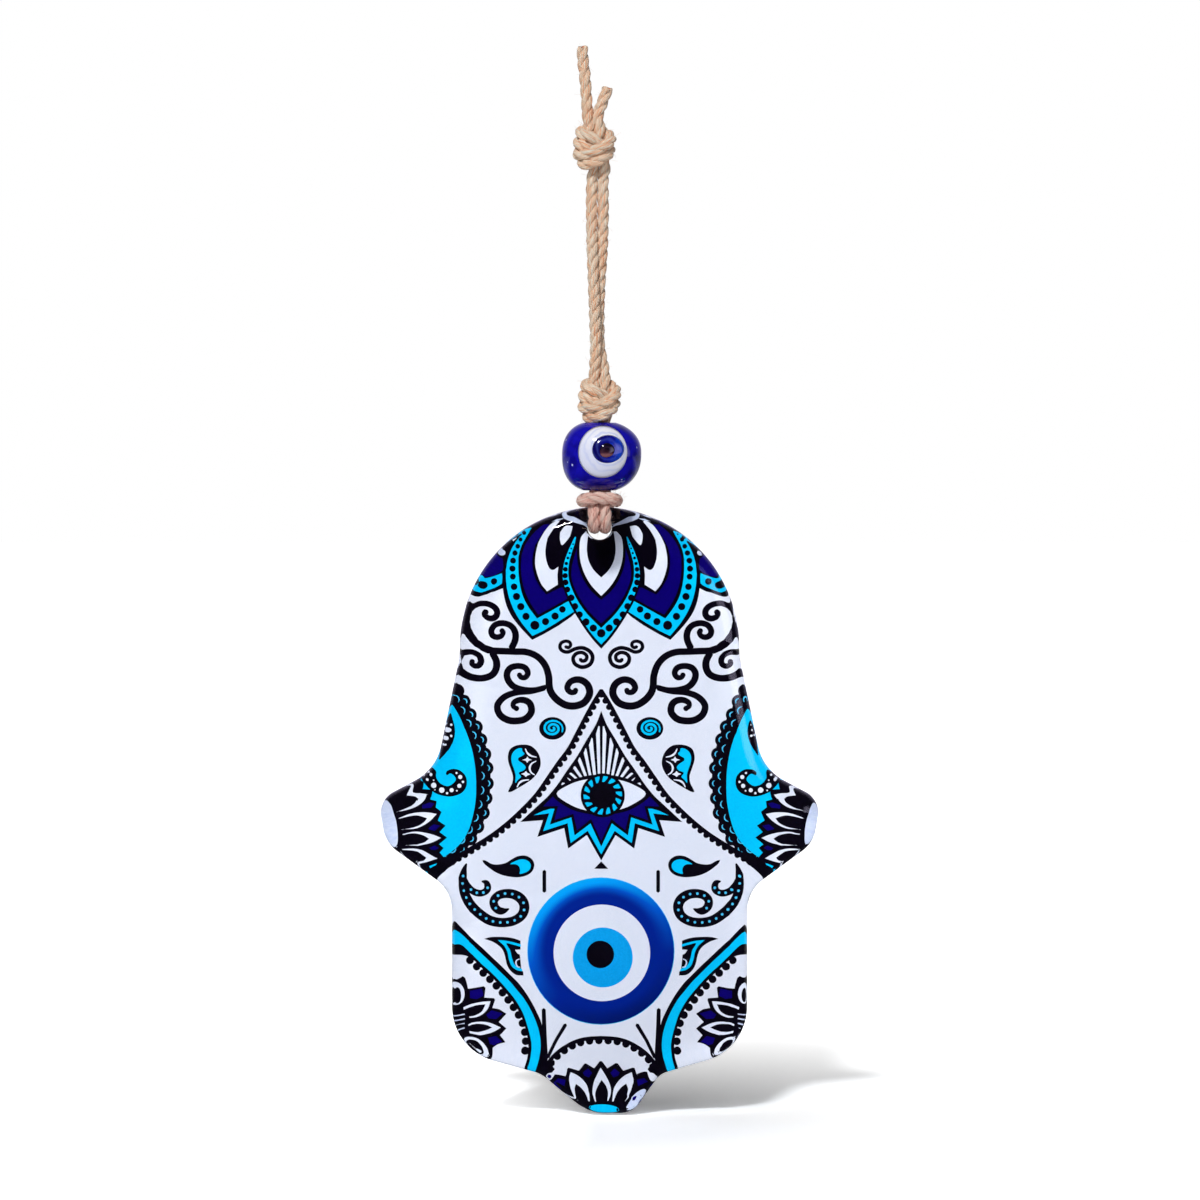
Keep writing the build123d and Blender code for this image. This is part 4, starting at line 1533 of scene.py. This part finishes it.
def twine_material(name, dark, middle, pale, painted_crevice_shade):
    """Jute: long pale fibres, with shade painted in where the plies close on each other."""
    material, tree, shader = surface(
        name, Roughness=0.82, Specular_IOR_Level=0.25, Sheen_Weight=0.15, Sheen_Roughness=0.5,
        Sheen_Tint=(1.0, 0.88, 0.76, 1.0),
    )
    fibre = add_node(tree, "ShaderNodeAttribute", attribute_name="fibre").outputs["Vector"]
    outwards = add_node(tree, "ShaderNodeAttribute", attribute_name="out").outputs["Fac"]
    strands = cloud(tree, Vector=fibre, Scale=4.0, Detail=3.0, Roughness=0.7)
    base = ramp(tree, strands, [(0.36, dark), (0.46, middle), (0.6, pale)])
    # Painted shade: the colour darkens towards the twine's middle line, where the plies close on each other.
    shade = mix(tree, spread(tree, outwards, 0.55, 0.95), ink_colour(*painted_crevice_shade), base)
    feed(tree, shader.inputs["Base Color"], shade)
    roughen(tree, shader, strands, strength=1.0, distance=0.0005)
    return material


def fuzz_material():
    """The loose fibres, pale and a little uneven in colour."""
    return mottled(
        "loose fibre", {"Scale": 900.0}, [(0.0, (232, 178, 140)), (1.0, (255, 236, 216))],
        Roughness=0.7, Specular_IOR_Level=0.3,
    )


def twine(name, points, seed, thick, strand_tree, hair_tree, jute, hair):
    """One length of twine with its loose fibres, and the points of its middle line."""
    line = twine_line(name + "_line", points)
    path = [tuple(v.co) for v in line.vertices]
    radii = {"Ply Radius": PLY_RADIUS * thick, "Lay Radius": LAY_RADIUS * thick}
    body = grown(name, line, strand_tree, {"Material": jute, **radii})
    fuzz = grown(name + "_fuzz", body.data.copy(), hair_tree, {"Material": hair, "Seed": seed})
    length = sum((Vector(b) - Vector(a)).length for a, b in zip(path, path[1:]))
    return body, fuzz, path, length


def hang_twine():
    """The two strands from their cut ends to the bead, and the hitch that holds the glass."""
    strand_tree, hair_tree = twine_tree(), fuzz_tree()
    # Each jute's last colour is the shade painted into the crevices between the plies.
    pale_jute = twine_material(
        "jute twine", dark=(246, 156, 110), middle=(255, 213, 176), pale=(255, 244, 226),
        painted_crevice_shade=(210, 124, 88),
    )
    # The hitch's twine is a darker, browner jute.
    brown_jute = twine_material(
        "darker jute twine", dark=(166, 98, 84), middle=(246, 188, 174), pale=(255, 226, 212),
        painted_crevice_shade=(130, 78, 68),
    )
    hair = fuzz_material()
    bead_end = [(0.0, 0.0, -62.0), (0.0, 0.0, -69.0)]
    first = LONG_TAIL + knot_route(1, TOP_KNOT_Z, TOP_KNOT_SHIFT) + RIGHT_STRAND
    first += knot_route(-1, BEAD_KNOT_Z, 0.0) + [(x - STRAND_X, y, z) for x, y, z in bead_end]
    second = SHORT_TAIL + knot_route(-1, TOP_KNOT_Z, TOP_KNOT_SHIFT) + LEFT_STRAND
    second += knot_route(1, BEAD_KNOT_Z, 0.0) + [(x + STRAND_X, y, z) for x, y, z in bead_end]
    hung = (
        ("twine_long", first, 3, ["tail_left", "top_knot", "strand_right", "bead_knot", "bead_run_left"]),
        ("twine_short", second, 8, ["tail_right", "strand_left", "bead_run_right"]),
    )
    for name, points, seed, nodes in hung:
        body, fuzz, path, length = twine(
            name, points, seed, STRAND_THICKNESS, strand_tree, hair_tree, pale_jute, hair
        )
        for each in (body, fuzz):
            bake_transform(each)
        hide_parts(*nodes)
    left = [(-x, y, z) for x, y, z in reversed(HITCH)]
    body, fuzz, path, length = twine(
        "twine_hitch", HITCH + left, 5, HITCH_THICKNESS, strand_tree, hair_tree, brown_jute, hair
    )
    for each in (body, fuzz):
        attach(each, "hand")
    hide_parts("hitch_bight", "hitch_leg_left", "hitch_leg_right")


def dress_glass():
    """The clear hand and the print behind it, on the body that tilts."""
    hand = glass_hand()
    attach(hand, "hand")
    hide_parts("glass_hand")
    film = print_film()
    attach(film, "hand")
    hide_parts("print_film")


def dress_bead():
    """The eye bead and its three drops of glass, on the body that turns."""
    white_spot, iris_spot, pupil_spot = (0.8, EYE_Z), (1.9, EYE_Z + 0.6), (1.7, EYE_Z + 0.35)
    white = drop_material(
        "white glass", [(0.0, (226, 230, 252)), (0.3, (244, 245, 254)), (1.0, (250, 250, 255))],
        iris_spot, lean=(30.0, 0.0, 40.0), swirl=0.4, rings=((196, 206, 246), 0.75, 6.5),
    )
    blue = drop_material(
        "blue glass", [(0.1, (6, 2, 90)), (0.42, (8, 16, 146)), (0.75, (14, 72, 212))],
        iris_spot, lean=(110.0, 0.0, -20.0), swirl=0.7, rings=((96, 120, 232), 0.16, 4.5),
    )
    # The pupil's reddish brown at its foot is a painted highlight, which the drift turns to purple black
    # further up.
    dark = drop_material(
        "black glass", [(0.0, (132, 84, 88)), (0.14, (60, 26, 40)), (0.28, (12, 5, 28))],
        pupil_spot, lean=(0.0, 0.0, 260.0), swirl=0.5, rings=((110, 80, 110), 0.12, 2.5),
    )
    glass_body = bead_body(cobalt_material())
    eye_white = eye_drop(
        "bead_white", white, white_spot, radius=5.72, flat=1.05, rise=0.45, under=0.0, unevenness=0.01
    )
    eye_iris = eye_drop(
        "bead_iris", blue, iris_spot, radius=3.65, flat=0.9, rise=0.8, under=0.4, unevenness=0.018
    )
    eye_pupil = eye_drop(
        "bead_pupil", dark, pupil_spot, radius=1.72, flat=1.0, rise=1.1, under=0.72, unevenness=0.04
    )
    rounds = (
        (glass_body, "bead_body", "cobalt_glass"),
        (eye_white, "bead_eye_white", "white_glass"),
        (eye_iris, "bead_eye_iris", "blue_glass"),
        (eye_pupil, "bead_eye_pupil", "black_glass"),
    )
    for made, node, slot in rounds:
        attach(made, "bead")
        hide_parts(node)


# Studio

FLOOR_Z = -218.3


def studio_floor():
    """A pale floor that runs into white with distance, and that the front of the glass mirrors as dark."""
    far = 6000.0
    corners = [(x, y, FLOOR_Z) for x, y in ((-far, -far), (far, -far), (far, far), (-far, far))]
    made, tree, shader = surface("studio floor", Roughness=0.9, Specular_IOR_Level=0.0)
    light = add_node(tree, "ShaderNodeLightPath").outputs
    place = object_place(tree)
    split = add_node(tree, "ShaderNodeSeparateXYZ", {0: place}).outputs
    in_front = spread(tree, split["Y"], 0.35, 0.1)
    mirrored = maths(tree, "MULTIPLY", in_front, light["Is Glossy Ray"])
    tone = mix(tree, mirrored, (0.85, 0.85, 0.85, 1.0), (0.04, 0.04, 0.05, 1.0))
    tone = mix(tree, light["Is Camera Ray"], tone, (1.28, 1.28, 1.28, 1.0))
    feed(tree, shader.inputs["Base Color"], tone)
    away = vector_maths(tree, "LENGTH", vector_maths(tree, "MULTIPLY", place, (1.0, 1.0, 0.0)))
    rising = spread(tree, away, 0.03, 0.18, 0.02, 1.0)
    # The floor also glows towards the left of the object, which paints light over the shadow there.
    leftwards = spread(tree, split["X"], 0.0, -0.035)
    rising = maths(tree, "MAXIMUM", rising, leftwards)
    behind = maths(tree, "SUBTRACT", 0.12, in_front, use_clamp=True)
    behind = maths(tree, "MULTIPLY", behind, light["Is Glossy Ray"])
    seen = maths(tree, "MAXIMUM", light["Is Camera Ray"], light["Is Transmission Ray"])
    seen = maths(tree, "MAXIMUM", seen, behind)
    glow = result(tree, "ShaderNodeEmission", {"Strength": maths(tree, "MULTIPLY", seen, rising)})
    show(tree, result(tree, "ShaderNodeAddShader", {0: shader.outputs["BSDF"], 1: glow}))
    floor = piece("studio_floor", corners, [(0, 1, 2, 3)], [made], smooth=False)


def studio_world():
    """White behind the object and dark in front, as glass is lit, and plain grey light for dull surfaces."""
    world = bpy.data.worlds.new("studio")
    world.use_nodes = True
    tree = world.node_tree
    tree.nodes.clear()
    place = add_node(tree, "ShaderNodeTexCoord").outputs["Generated"]
    depth = add_node(tree, "ShaderNodeSeparateXYZ", {0: place}).outputs["Y"]
    clear = spread(tree, depth, -0.2, 0.3, 0.2, 1.0)
    beside = vector_maths(tree, "DOT_PRODUCT", place, (0.8, -0.6, 0.0))
    window = spread(tree, beside, 0.86, 0.96, 0.0, 2.5)
    mirrored = maths(tree, "ADD", spread(tree, depth, 0.3, 0.95, 0.04, 0.7), window)
    light = add_node(tree, "ShaderNodeLightPath").outputs
    level = mix(tree, light["Is Glossy Ray"], 0.18, mirrored, "FLOAT")
    level = mix(tree, light["Is Transmission Ray"], level, clear, "FLOAT")
    level = maths(tree, "MAXIMUM", level, light["Is Camera Ray"])
    tint = mix(tree, light["Is Glossy Ray"], (1.0, 1.0, 1.0, 1.0), (0.78, 0.72, 1.0, 1.0))
    sky = result(tree, "ShaderNodeBackground", {"Color": tint, "Strength": level})
    add_node(tree, "ShaderNodeOutputWorld", {"Surface": sky})
    bpy.context.scene.world = world


def lamp(name, place, target, size, power):
    """A round lamp that points at a target."""
    data = bpy.data.lights.new(name, "AREA")
    data.shape = "DISK"
    data.size = size
    data.energy = power
    made = bpy.data.objects.new(name, data)
    made.location = place
    made.rotation_euler = (Vector(target) - Vector(place)).to_track_quat("-Z", "Y").to_euler()
    bpy.context.collection.objects.link(made)


def studio():
    """Floor, surroundings, one lamp and the camera."""
    studio_floor()
    studio_world()
    middle = (0.0, 0.0, -0.12)
    lamp("key lamp", place=(-0.6, -1.95, 1.77), target=middle, size=0.35, power=54.0)
    data = bpy.data.cameras.new("camera")
    data.lens = LENS
    data.sensor_width = SENSOR
    camera = bpy.data.objects.new("camera", data)
    centre = Vector(FRAME_CENTRE) * MM
    camera.location = centre + Vector((0.0, -cos(VIEW_RISE), sin(VIEW_RISE))) * VIEW_DISTANCE * MM
    camera.rotation_euler = (centre - camera.location).to_track_quat("-Z", "Y").to_euler()
    bpy.context.collection.objects.link(camera)
    bpy.context.scene.camera = camera
    bpy.context.scene.view_settings.view_transform = "Standard"


studio()
hang_twine()
dress_glass()
dress_bead()
